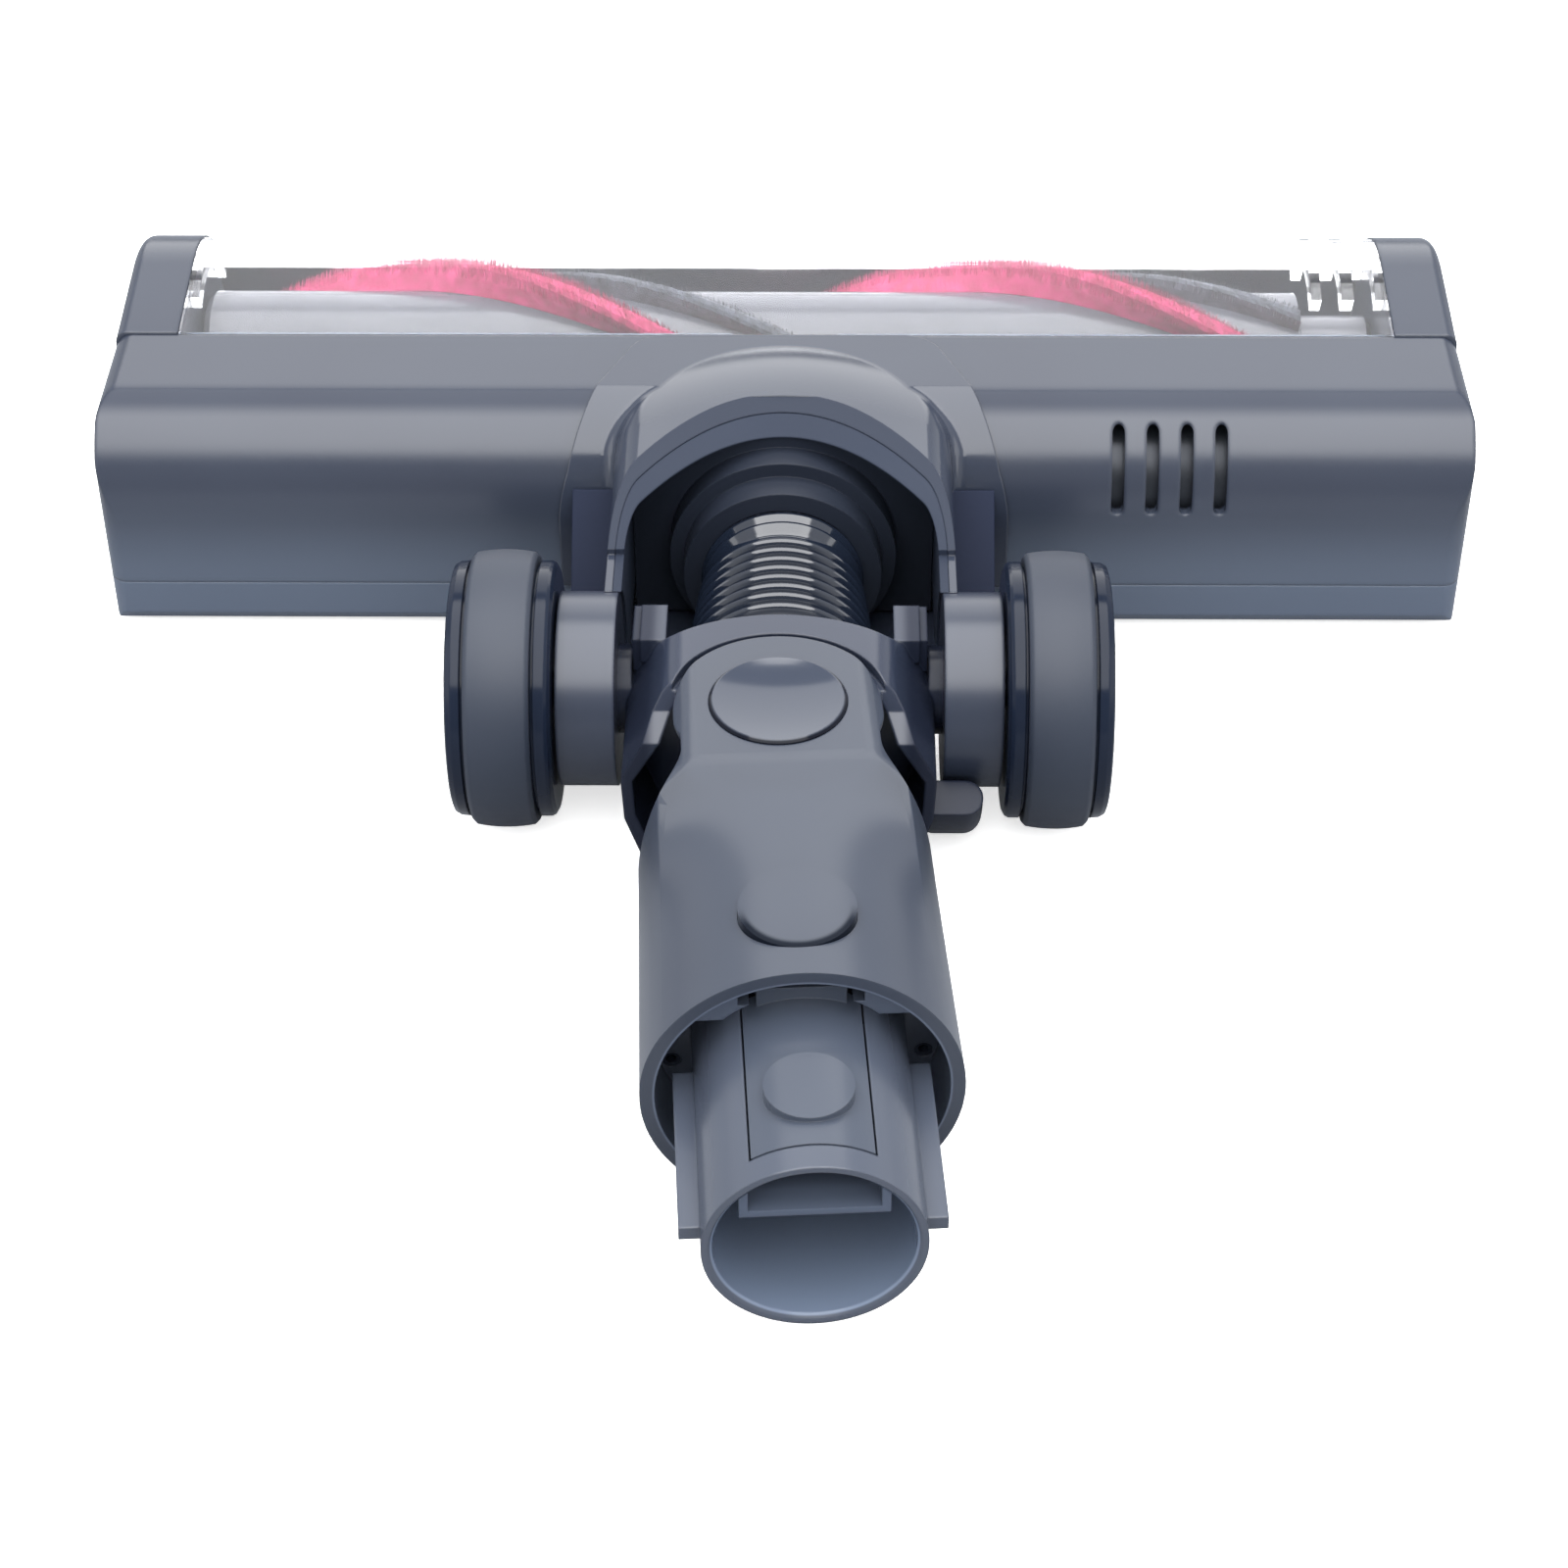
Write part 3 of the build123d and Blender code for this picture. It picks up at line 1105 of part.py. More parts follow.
# Latch lever: plate under the button, tongue and round boss in the slot
with BuildPart() as latch_lever:
    with Locations((0, LATCH_Y - 16.75, LATCH_Z)):
        Box(18.4, 33.5, 1.2)
    with BuildSketch(Plane.YZ.offset(-9.2)):
        with Locations((LATCH_Y, LATCH_Z)):
            Circle(1.92)
    extrude(amount=18.4)
    with Locations((0, LATCH_Y - 33.1, LATCH_Z - 1.7)):
        Box(14.0, 3.6, 4.0)
    with BuildSketch(Plane.XZ.offset(97.0)):
        with Locations((0, TUBE_Z)):
            Circle(SPIGOT_R - 0.05)
            Circle(SPIGOT_R - SPIGOT_WALL - 0.3, mode=Mode.SUBTRACT)
        with Locations((0, TUBE_Z + 12)):
            Rectangle(18.4, 14.0, mode=Mode.INTERSECT)
    extrude(amount=33.2)
    with BuildSketch(Plane.XY.offset(TUBE_Z + SPIGOT_R - 1.5)):
        with Locations((0, BOSS_Y)):
            Circle(6.9)
    extrude(amount=2.4)
    fillet(latch_lever.edges().filter_by(GeomType.CIRCLE).group_by(Axis.Z)[-1], radius=0.8)
    with BuildSketch(Plane.YZ.offset(-12)):
        with Locations((LATCH_Y, LATCH_Z)):
            Circle(1.2 + RUN_GAP)
    extrude(amount=24, mode=Mode.SUBTRACT)

with BuildPart() as latch_axle:
    with BuildSketch(Plane.YZ.offset(-12.4)):
        with Locations((LATCH_Y, LATCH_Z)):
            Circle(1.2)
    extrude(amount=24.8)

with BuildPart() as latch_spring:
    with BuildLine() as coil_path:
        Helix(pitch=2.0, height=6.0, radius=2.8, center=(0, -112.0, 34.1))
    with BuildSketch(Plane(coil_path.line @ 0, z_dir=coil_path.line % 0)):
        Circle(0.4)
    sweep(path=coil_path.line)

# Release button, domed on top, with a retaining collar and a nub below
BUTTON_DOME_R = (9.3**2 + 1.6**2) / 3.2
BUTTON_DOME_TURN = math.degrees(math.asin(9.3 / BUTTON_DOME_R))

with BuildPart() as release_button:
    with BuildSketch(Plane.XZ.offset(-BUTTON_Y)):
        with BuildLine():
            Polyline((0, 45.75), (1.5, 45.75), (1.5, 46.9), (9.9, 46.9), (9.9, 48.3), (9.3, 48.3),
                     (9.3, 51.4))
            CenterArc((0, 53.0 - BUTTON_DOME_R), BUTTON_DOME_R, 90 - BUTTON_DOME_TURN,
                      BUTTON_DOME_TURN)
            Line((0, 53.0), (0, 45.75))
        make_face()
    revolve(axis=Axis((0, BUTTON_Y, 0), (0, 0, 1)))

with BuildPart() as contact_sockets:
    with BuildSketch(Plane.XZ.offset(80.2)):
        with Locations((-20.3, 19.6), (20.3, 19.6)):
            Circle(1.5)
            Circle(0.9, mode=Mode.SUBTRACT)
    extrude(amount=7.6)

# Every piece gets its name and its own file
fixed_pieces = {
    "rear_housing": rear_housing.part,
    "lower_housing": lower_housing.part,
    "clear_window": clear_window.part,
    "left_end_cap": left_end_cap,
    "right_end_cap": right_end_cap,
    "sole_plate": sole_plate.part,
    "centre_cover": centre_cover.part,
    "hood": hood.part,
    "hose_port": hose_port.part,
    "brush_core": brush_core.part,
    "bristle_strips": bristle_strips.part,
    "soft_strips": soft_strips.part,
    "roller_end_plugs": roller_end_plugs.part,
    "roller_bearings": roller_bearings.part,
    "roller_pulley": roller_pulley.part,
    "drive_belt": drive_belt.part,
    "motor_case": motor_case.part,
    "motor_bracket": motor_bracket.part,
    "motor_shaft": motor_shaft.part,
    "motor_pulley": motor_pulley.part,
    "circuit_board": circuit_board.part,
    "wiper_strip": wiper_strip.part,
    "roller_lock": roller_lock.part,
    "left_support_roller": left_support_roller,
    "right_support_roller": right_support_roller,
    "support_axles": support_axles.part,
    "sole_screws": sole_screws.part,
    "wheel_axle_pins": wheel_axle_pins.part,
    "neck_base": neck_base.part,
    "air_hose": air_hose.part,
}
fixed_pieces.update(wheel_parts)
swivel_pieces = {
    "swivel_tube": swivel_tube.part,
    "pivot_cap": pivot_cap.part,
    "connector_tube": connector_tube.part,
    "latch_box": latch_box.part,
    "latch_lever": latch_lever.part,
    "latch_axle": latch_axle.part,
    "latch_spring": latch_spring.part,
    "release_button": release_button.part,
    "contact_sockets": contact_sockets.part,
}
for piece_name, piece in fixed_pieces.items():
    piece.label = piece_name
    export_step(piece, f"parts/{piece_name}.step")
for piece_name, piece in swivel_pieces.items():
    turned = piece.rotate(SWIVEL_AXIS, REST_YAW)
    turned.label = piece_name
    export_step(turned, f"parts/{piece_name}.step")
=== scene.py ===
"""Looks of the motorised floor brush head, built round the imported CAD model."""

import math
import random

import bpy
from mathutils import Matrix, Vector


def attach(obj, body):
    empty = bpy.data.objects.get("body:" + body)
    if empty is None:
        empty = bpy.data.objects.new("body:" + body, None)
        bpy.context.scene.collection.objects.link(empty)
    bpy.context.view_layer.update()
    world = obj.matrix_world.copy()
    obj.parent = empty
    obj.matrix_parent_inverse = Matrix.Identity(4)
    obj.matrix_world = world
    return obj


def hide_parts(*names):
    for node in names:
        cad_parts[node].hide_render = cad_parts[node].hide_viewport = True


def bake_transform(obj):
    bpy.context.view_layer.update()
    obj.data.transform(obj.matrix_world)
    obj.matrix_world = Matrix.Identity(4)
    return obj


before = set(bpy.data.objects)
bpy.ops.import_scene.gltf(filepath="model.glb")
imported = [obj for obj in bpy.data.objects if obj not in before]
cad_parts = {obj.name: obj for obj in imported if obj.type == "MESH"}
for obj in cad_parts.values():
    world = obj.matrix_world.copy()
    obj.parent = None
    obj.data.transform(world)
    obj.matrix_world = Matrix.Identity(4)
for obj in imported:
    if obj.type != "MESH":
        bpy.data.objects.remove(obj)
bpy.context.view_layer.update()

# Sizes repeated from the CAD source, in metres
ROLLER_Y = 0.1096
ROLLER_Z = 0.0234
CORE_R = 0.0140
BRISTLE_R = 0.0224
SOFT_R = 0.0194
STRIP_PITCH = 0.227
STRIP_START = -0.109
STRIP_END = 0.103
STRIP_PHASE = math.radians(58.0) + math.tau * (STRIP_START + 0.072) / STRIP_PITCH
AXLE_Z = 0.025
PIN_Y = -0.0285
REST_YAW = math.radians(3.6)
HOSE_R = 0.0174
HOSE_PITCH = 0.0031
MOUTH_WAY = (0.0, -0.2754, 0.9613)
MOUTH_LEVEL = MOUTH_WAY[1] * 0.0545 + MOUTH_WAY[2] * 0.0517
GUSSET_WAY = (0.0, -0.687, 0.727)
TUBE_Z = 0.0259
BUTTON_Y = -0.0876

# Middle of the dark band behind the roof, and the painted shade of the cover's gussets
CREASE_Y = 0.0630
GUSSET_PAINTED_SHADE = (0.004, 0.008, 0.024)


# Materials: built from noise and bumps, most of them with rounded edges
def new_material(name):
    """An empty node material and its node tree."""
    mat = bpy.data.materials.new(name)
    mat.use_nodes = True
    mat.node_tree.nodes.clear()
    return mat, mat.node_tree


def add(tree, kind, inputs=None, **settings):
    """A node with its settings, and constant values on its inputs."""
    made = tree.nodes.new(kind)
    for key, value in settings.items():
        setattr(made, key, value)
    for key, value in (inputs or {}).items():
        made.inputs[key].default_value = value
    return made


def noise(tree, scale, detail=2.0, stretch=None):
    """Noise in the object's own space, stretched if asked."""
    place = add(tree, "ShaderNodeTexCoord")
    source = place.outputs["Object"]
    if stretch:
        mapping = add(tree, "ShaderNodeMapping", {"Scale": stretch})
        tree.links.new(source, mapping.inputs["Vector"])
        source = mapping.outputs["Vector"]
    made = add(tree, "ShaderNodeTexNoise", {"Scale": scale, "Detail": detail})
    tree.links.new(source, made.inputs["Vector"])
    return made.outputs["Fac"]


def remap(tree, source, low_in, high_in, low, high):
    """Source scaled from one range to another and clamped."""
    made = add(
        tree,
        "ShaderNodeMapRange",
        {"From Min": low_in, "From Max": high_in, "To Min": low, "To Max": high},
        interpolation_type="SMOOTHSTEP",
    )
    tree.links.new(source, made.inputs["Value"])
    return made.outputs["Result"]


def mix_colour(tree, factor, first, second):
    """Two colours mixed; each may be a constant or a socket."""
    made = add(tree, "ShaderNodeMix", data_type="RGBA")
    for socket, value in ((made.inputs[6], first), (made.inputs[7], second)):
        if isinstance(value, (tuple, list)):
            socket.default_value = (*value[:3], 1.0)
        else:
            tree.links.new(value, socket)
    if isinstance(factor, float):
        made.inputs[0].default_value = factor
    else:
        tree.links.new(factor, made.inputs[0])
    return made.outputs[2]


def bump(tree, height, strength, distance, before=None):
    """A bump layer over the one before."""
    made = add(tree, "ShaderNodeBump", {"Strength": strength, "Distance": distance})
    tree.links.new(height, made.inputs["Height"])
    if before is not None:
        tree.links.new(before, made.inputs["Normal"])
    return made.outputs["Normal"]


def surface(
    name,
    base,
    lighter,
    rough=(0.4, 0.5),
    grain=900.0,
    grain_strength=0.25,
    wave_strength=0.0,
    wear=0.0,
    edge=0.0004,
    mouth=None,
    bore=None,
    crease=0.0,
    tube=False,
    shade=None,
    **constants,
):
    """Moulded plastic, rubber or metal: tone clouds, fine grain, smudged gloss and worn edges."""
    mat, tree = new_material(name)
    shader = add(tree, "ShaderNodeBsdfPrincipled")
    for key, value in constants.items():
        shader.inputs[key.replace("_", " ")].default_value = value
    colour = mix_colour(tree, remap(tree, noise(tree, 30.0, 1.0), 0.1, 0.9, 0.0, 1.0), base, lighter)
    if wear:
        place = add(tree, "ShaderNodeNewGeometry")
        worn = remap(tree, place.outputs["Pointiness"], 0.52, 0.60, 0.0, wear)
        pale = tuple(min(1.0, c * 2.4 + 0.02) for c in lighter[:3])
        colour = mix_colour(tree, worn, colour, pale)
    tree.links.new(colour, shader.inputs["Base Color"])
    shine = remap(tree, noise(tree, 45.0, 1.0), 0.1, 0.9, rough[0], rough[1])
    # Painted light: the inside of the bore is painted lighter, standing in for the light that reaches into
    # it
    if bore is not None:
        radius, start, painted_bore_light = bore
        inside = within_bore(tree, radius, start)
        tree.links.new(mix_colour(tree, inside, colour, painted_bore_light), shader.inputs["Base Color"])
    # Painted light and shade: a masked area takes a lighter or darker tone; on the pivot cap it is a dark
    # outline
    if shade is not None:
        mask, part_tone, level = shade
        part = mask(tree)
        tree.links.new(mix_colour(tree, part, colour, part_tone), shader.inputs["Base Color"])
        tree.links.new(remap(tree, part, 0.0, 1.0, 0.5, level), shader.inputs["Specular IOR Level"])
    if crease:
        band = roof_crease(tree)
        tree.links.new(remap(tree, band, 0.0, 1.0, 0.5, 0.5 * (1.0 - crease)),
                       shader.inputs["Specular IOR Level"])
    if mouth is not None:
        cut, gusset = cut_face(tree)
        # Painted shade: the cover's gussets are painted near black where the lamps would light them
        tone = mix_colour(tree, gusset, mix_colour(tree, cut, colour, mouth), GUSSET_PAINTED_SHADE)
        tree.links.new(tone, shader.inputs["Base Color"])
        shine = maths(tree, "MAXIMUM", shine, remap(tree, cut, 0.0, 1.0, 0.0, 0.6))
        dull = remap(tree, cut, 0.0, 1.0, 0.5, 0.15)
        tree.links.new(dull, shader.inputs["Specular IOR Level"])
    tree.links.new(shine, shader.inputs["Roughness"])
    normal = None
    if edge:
        rounded = add(tree, "ShaderNodeBevel", {"Radius": edge}, samples=6)
        normal = rounded.outputs["Normal"]
    if tube:
        normal = tube_normal(tree, normal)
    if wave_strength:
        normal = bump(tree, noise(tree, 30.0, 1.0), wave_strength, 0.0006, normal)
    if grain_strength:
        normal = bump(tree, noise(tree, grain, 2.0), grain_strength, 0.00004, normal)
    if normal is not None:
        tree.links.new(normal, shader.inputs["Normal"])
    out = add(tree, "ShaderNodeOutputMaterial")
    tree.links.new(shader.outputs[0], out.inputs[0])
    return mat


def maths(tree, operation, first, second=None):
    """A maths node over sockets and plain numbers."""
    made = add(tree, "ShaderNodeMath", operation=operation)
    for index, value in enumerate((first, second)):
        if value is None:
            continue
        if isinstance(value, (int, float)):
            made.inputs[index].default_value = value
        else:
            tree.links.new(value, made.inputs[index])
    return made.outputs[0]


def distance(tree, first, second):
    """Length of the vector with these two parts."""
    square = maths(tree, "ADD", maths(tree, "POWER", first, 2.0), maths(tree, "POWER", second, 2.0))
    return maths(tree, "SQRT", square)


def object_place(tree):
    """X, Y and Z of the node itself."""
    place = add(tree, "ShaderNodeTexCoord")
    parts = add(tree, "ShaderNodeSeparateXYZ")
    tree.links.new(place.outputs["Object"], parts.inputs[0])
    return parts.outputs["X"], parts.outputs["Y"], parts.outputs["Z"]


def facing(tree, vector, direction):
    """How far a vector socket points along a direction."""
    made = add(tree, "ShaderNodeVectorMath", {1: direction}, operation="DOT_PRODUCT")
    tree.links.new(vector, made.inputs[0])
    return made.outputs["Value"]


def straight_tube(tree):
    """Sideways, lengthwise and upward place on the swivel tube, without its resting turn."""
    x, y, z = object_place(tree)
    y = maths(tree, "SUBTRACT", y, PIN_Y)
    cos, sin = math.cos(REST_YAW), math.sin(REST_YAW)
    side = maths(tree, "ADD", maths(tree, "MULTIPLY", x, cos), maths(tree, "MULTIPLY", y, sin))
    along = maths(tree, "SUBTRACT", maths(tree, "MULTIPLY", y, cos), maths(tree, "MULTIPLY", x, sin))
    return side, maths(tree, "ADD", along, PIN_Y), maths(tree, "SUBTRACT", z, TUBE_Z)


def within_bore(tree, radius, start):
    """One inside the tube's bore, further out than start."""
    side, along, rise = straight_tube(tree)
    near = remap(tree, distance(tree, side, rise), radius, radius + 0.0003, 1.0, 0.0)
    far = remap(tree, along, start - 0.001, start, 1.0, 0.0)
    return maths(tree, "MULTIPLY", near, far)


def painted_shade_button_rim(tree):
    """Painted shade: one on the button's side and on the crescent of its top that is nearest the mouth,
    which are painted near black.
    """
    side, along, rise = straight_tube(tree)
    along = maths(tree, "SUBTRACT", along, BUTTON_Y)
    crescent = remap(tree, distance(tree, side, along), 0.0079, 0.0089, 0.0, 1.0)
    lower = remap(tree, along, -0.0045, 0.0005, 1.0, 0.0)
    return maths(tree, "MULTIPLY", crescent, lower)


def cap_ring(tree):
    """One on the narrow ring round the pivot cap."""
    side, along, rise = straight_tube(tree)
    from_pin = distance(tree, side, maths(tree, "SUBTRACT", along, PIN_Y))
    return remap(tree, from_pin, 0.01115, 0.01155, 0.0, 1.0)


def painted_table_light_wall(tree):
    """Painted light: rises towards the foot of the rear wall, standing in for the light the table throws
    there.
    """
    x, y, z = object_place(tree)
    return remap(tree, z, 0.012, 0.034, 1.0, 0.0)


def painted_table_light_lower(tree):
    """Painted light: one on the lower housing, zero on its two wheel arms; the lower housing is painted
    lighter, standing in for the light of the table.
    """
    x, y, z = object_place(tree)
    return remap(tree, y, 0.0470, 0.0485, 0.0, 1.0)


def painted_shade_neck_flanks(tree):
    """Painted shade: one on the outer sides of the neck, which are painted darker."""
    x, y, z = object_place(tree)
    return remap(tree, maths(tree, "ABSOLUTE", x), 0.0205, 0.0235, 0.0, 1.0)


def roof_crease(tree):
    """One along the line where the flat roof turns down to the shoulder."""
    x, y, z = object_place(tree)
    away = maths(tree, "ABSOLUTE", maths(tree, "SUBTRACT", y, CREASE_Y))
    near = remap(tree, away, 0.0002, 0.0048, 1.0, 0.0)
    high = remap(tree, z, 0.0430, 0.0440, 0.0, 1.0)
    return maths(tree, "MULTIPLY", near, high)


def tube_normal(tree, before):
    """The upper skin shaded as one smooth turned surface that runs flat into the pivot."""
    side, along, rise = straight_tube(tree)
    round_share = remap(tree, along, -0.080, -0.046, 1.0, 0.0)
    lean = maths(tree, "MULTIPLY", side, round_share)
    cos, sin = math.cos(REST_YAW), math.sin(REST_YAW)
    joined = add(tree, "ShaderNodeCombineXYZ")
    tree.links.new(maths(tree, "MULTIPLY", lean, cos), joined.inputs[0])
    tree.links.new(maths(tree, "MULTIPLY", lean, sin), joined.inputs[1])
    tree.links.new(rise, joined.inputs[2])
    turned = add(tree, "ShaderNodeVectorTransform", vector_type="NORMAL",
                 convert_from="OBJECT", convert_to="WORLD")
    tree.links.new(joined.outputs[0], turned.inputs[0])
    unit = add(tree, "ShaderNodeVectorMath", operation="NORMALIZE")
    tree.links.new(turned.outputs[0], unit.inputs[0])
    shape = add(tree, "ShaderNodeNewGeometry")
    own = add(tree, "ShaderNodeVectorTransform", vector_type="NORMAL",
              convert_from="WORLD", convert_to="OBJECT")
    tree.links.new(shape.outputs["True Normal"], own.inputs[0])
    parts = add(tree, "ShaderNodeSeparateXYZ")
    tree.links.new(own.outputs[0], parts.inputs[0])
    upper = remap(tree, parts.outputs["Z"], 0.45, 0.60, 0.0, 1.0)
    behind = remap(tree, along, -0.046, -0.042, 1.0, 0.0)
    top = remap(tree, rise, 0.0125, 0.0135, 0.0, 1.0)
    share = maths(tree, "MULTIPLY", maths(tree, "MULTIPLY", upper, behind), top)
    mixed = add(tree, "ShaderNodeMix", data_type="VECTOR")
    tree.links.new(share, mixed.inputs[0])
    tree.links.new(before, mixed.inputs[4])
    tree.links.new(unit.outputs[0], mixed.inputs[5])
    final = add(tree, "ShaderNodeVectorMath", operation="NORMALIZE")
    tree.links.new(mixed.outputs[1], final.inputs[0])
    return final.outputs[0]


def cut_face(tree):
    """One on the slanted mouth, foot shelves and gussets of the cover; and one on the gussets, which are
    painted as shade.
    """
    shape = add(tree, "ShaderNodeNewGeometry").outputs["True Normal"]
    place = add(tree, "ShaderNodeTexCoord").outputs["Object"]
    x, y, z = object_place(tree)
    away = maths(tree, "ABSOLUTE", maths(tree, "SUBTRACT", facing(tree, place, MOUTH_WAY), MOUTH_LEVEL))
    near = remap(tree, away, 0.0001, 0.0002, 1.0, 0.0)
    slanted = remap(tree, facing(tree, shape, MOUTH_WAY), 0.985, 0.995, 0.0, 1.0)
    sloping = remap(tree, facing(tree, shape, GUSSET_WAY), 0.985, 0.995, 0.0, 1.0)
    upward = remap(tree, facing(tree, shape, (0.0, 0.0, 1.0)), 0.985, 0.995, 0.0, 1.0)
    low = remap(tree, z, 0.0375, 0.0385, 1.0, 0.0)
    gusset = maths(tree, "MULTIPLY", sloping, low)
    foot = maths(tree, "MAXIMUM", maths(tree, "MULTIPLY", upward, low), gusset)
    return maths(tree, "MAXIMUM", maths(tree, "MULTIPLY", near, slanted), foot), gusset


def clear_plastic(name):
    """Clear moulded plastic that lets light through in its shadow."""
    mat, tree = new_material(name)
    shader = add(
        tree,
        "ShaderNodeBsdfPrincipled",
        {"Transmission Weight": 1.0, "IOR": 1.31, "Specular IOR Level": 0.5},
    )
    tint = mix_colour(tree, noise(tree, 18.0, 2.0), (0.935, 0.94, 0.955), (0.955, 0.96, 0.972))
    tree.links.new(tint, shader.inputs["Base Color"])
    tree.links.new(remap(tree, noise(tree, 60.0, 3.0), 0.35, 0.7, 0.015, 0.07), shader.inputs["Roughness"])
    wave = bump(tree, noise(tree, 26.0, 1.0, stretch=(0.4, 1.0, 1.0)), 0.10, 0.0008)
    tree.links.new(wave, shader.inputs["Normal"])
    ray = add(tree, "ShaderNodeLightPath")
    through = add(tree, "ShaderNodeBsdfTransparent", {"Color": (0.93, 0.94, 0.95, 1.0)})
    both = add(tree, "ShaderNodeMixShader")
    tree.links.new(ray.outputs["Is Shadow Ray"], both.inputs[0])
    tree.links.new(shader.outputs[0], both.inputs[1])
    tree.links.new(through.outputs[0], both.inputs[2])
    out = add(tree, "ShaderNodeOutputMaterial")
    tree.links.new(both.outputs[0], out.inputs[0])
    return mat


def fibre_material(name, deep, bright, sheen):
    """Dyed bristles, streaked along their length."""
    mat, tree = new_material(name)
    shader = add(tree, "ShaderNodeBsdfPrincipled", {"Sheen Weight": sheen, "Sheen Roughness": 0.45})
    streak = remap(tree, noise(tree, 420.0, 3.0), 0.3, 0.7, 0.0, 1.0)
    tree.links.new(mix_colour(tree, streak, deep, bright), shader.inputs["Base Color"])
    tree.links.new(remap(tree, noise(tree, 90.0, 2.0), 0.3, 0.7, 0.55, 0.8), shader.inputs["Roughness"])
    normal = bump(tree, noise(tree, 1600.0, 2.0), 0.35, 0.0001)
    tree.links.new(normal, shader.inputs["Normal"])
    out = add(tree, "ShaderNodeOutputMaterial")
    tree.links.new(shader.outputs[0], out.inputs[0])
    return mat


graphite = surface(
    "graphite_plastic", (0.023, 0.028, 0.043), (0.026, 0.032, 0.048), rough=(0.235, 0.268),
    grain=900.0, grain_strength=0.05, edge=0.0011, crease=0.68,
    # Painted light: the foot of the rear wall is painted lighter where the table would light it
    shade=(painted_table_light_wall, (0.062, 0.078, 0.110), 0.5),
)
graphite_low = surface(
    "graphite_under_plastic", (0.018, 0.023, 0.038), (0.022, 0.028, 0.045), rough=(0.285, 0.32),
    # Painted light: the lower housing behind the wheel arms is painted lighter as if lit by the table
    grain=900.0, grain_strength=0.05, edge=0.0008, shade=(painted_table_light_lower, (0.070, 0.089, 0.126), 0.5),
)
graphite_neck = surface(
    "graphite_neck_plastic", (0.017, 0.022, 0.038), (0.020, 0.026, 0.044), rough=(0.22, 0.265),
    # Painted shade: the neck's outer flanks are painted darker
    grain=900.0, grain_strength=0.05, edge=0.0007, shade=(painted_shade_neck_flanks, (0.010, 0.013, 0.024), 0.16),
)
graphite_tube = surface(
    "graphite_tube_plastic", (0.027, 0.033, 0.048), (0.031, 0.038, 0.055), rough=(0.285, 0.32),
    # Painted light: the inside of the tube's bore is painted lighter
    grain=900.0, grain_strength=0.05, tube=True, bore=(0.0234, -0.088, (0.075, 0.092, 0.130)),
)
graphite_button = surface(
    "graphite_button_plastic", (0.028, 0.034, 0.049), (0.032, 0.039, 0.056), rough=(0.285, 0.31),
    # Painted shade: a dark crescent on the button's side nearest the mouth
    grain=900.0, grain_strength=0.05, tube=True, shade=(painted_shade_button_rim, (0.004, 0.006, 0.011), 0.06),
)
graphite_lever = surface(
    "graphite_lever_plastic", (0.036, 0.044, 0.062), (0.041, 0.050, 0.070), rough=(0.23, 0.265),
    grain=900.0, grain_strength=0.05, tube=True, edge=0.0006,
)
graphite_spigot = surface(
    "graphite_spigot_plastic", (0.042, 0.050, 0.070), (0.047, 0.056, 0.078), rough=(0.23, 0.265),
    # Painted light: the inside of the spigot's bore is painted lighter
    grain=900.0, grain_strength=0.05, edge=0.0006, bore=(0.01555, -0.106, (0.115, 0.145, 0.205)),
)
gloss = surface(
    "gloss_cover_plastic", (0.021, 0.026, 0.041), (0.025, 0.031, 0.047), rough=(0.12, 0.17),
    grain_strength=0.02, wave_strength=0.02, mouth=(0.019, 0.024, 0.038),
)
hub_gloss = surface(
    "gloss_hub_plastic", (0.006, 0.009, 0.018), (0.008, 0.012, 0.023), rough=(0.12, 0.18),
    grain_strength=0.02, wave_strength=0.02, Specular_IOR_Level=0.15,
)
cap_gloss = surface(
    "satin_cap_plastic", (0.028, 0.034, 0.050), (0.032, 0.039, 0.057), rough=(0.08, 0.11),
    grain_strength=0.02, wave_strength=0.02, edge=0.0002,
    shade=(cap_ring, (0.004, 0.005, 0.009), 0.1),
)
liner = surface(
    "matte_liner_plastic", (0.015, 0.020, 0.034), (0.018, 0.024, 0.040), rough=(0.55, 0.66),
    grain=900.0, grain_strength=0.12, Specular_IOR_Level=0.15,
)
inner = surface(
    "dark_inner_plastic", (0.018, 0.024, 0.042), (0.024, 0.031, 0.052), rough=(0.42, 0.55),
    grain=900.0, grain_strength=0.10,
)
socket_dark = surface(
    "dark_socket_plastic", (0.010, 0.013, 0.022), (0.014, 0.018, 0.028), rough=(0.45, 0.55),
    grain=900.0, grain_strength=0.10, Specular_IOR_Level=0.2,
)
box_matte = surface(
    "matte_box_plastic", (0.050, 0.063, 0.092), (0.058, 0.072, 0.104), rough=(0.55, 0.65),
    grain=900.0, grain_strength=0.10, Specular_IOR_Level=0.2,
)
clear = clear_plastic("clear_window_plastic")
core = surface(
    "roller_tube_plastic", (0.050, 0.052, 0.064), (0.064, 0.066, 0.080), rough=(0.18, 0.26),
    grain_strength=0.05, wave_strength=0.05, edge=0.0,
)
bristle = fibre_material("red_bristle_fibre", (0.30, 0.010, 0.065), (0.46, 0.035, 0.14), 0.10)
soft = fibre_material("dark_soft_fibre", (0.020, 0.024, 0.034), (0.055, 0.062, 0.082), 0.2)
rubber = surface(
    "dark_strip_rubber", (0.022, 0.028, 0.044), (0.035, 0.043, 0.062), rough=(0.55, 0.75),
    grain=700.0, grain_strength=0.4,
)
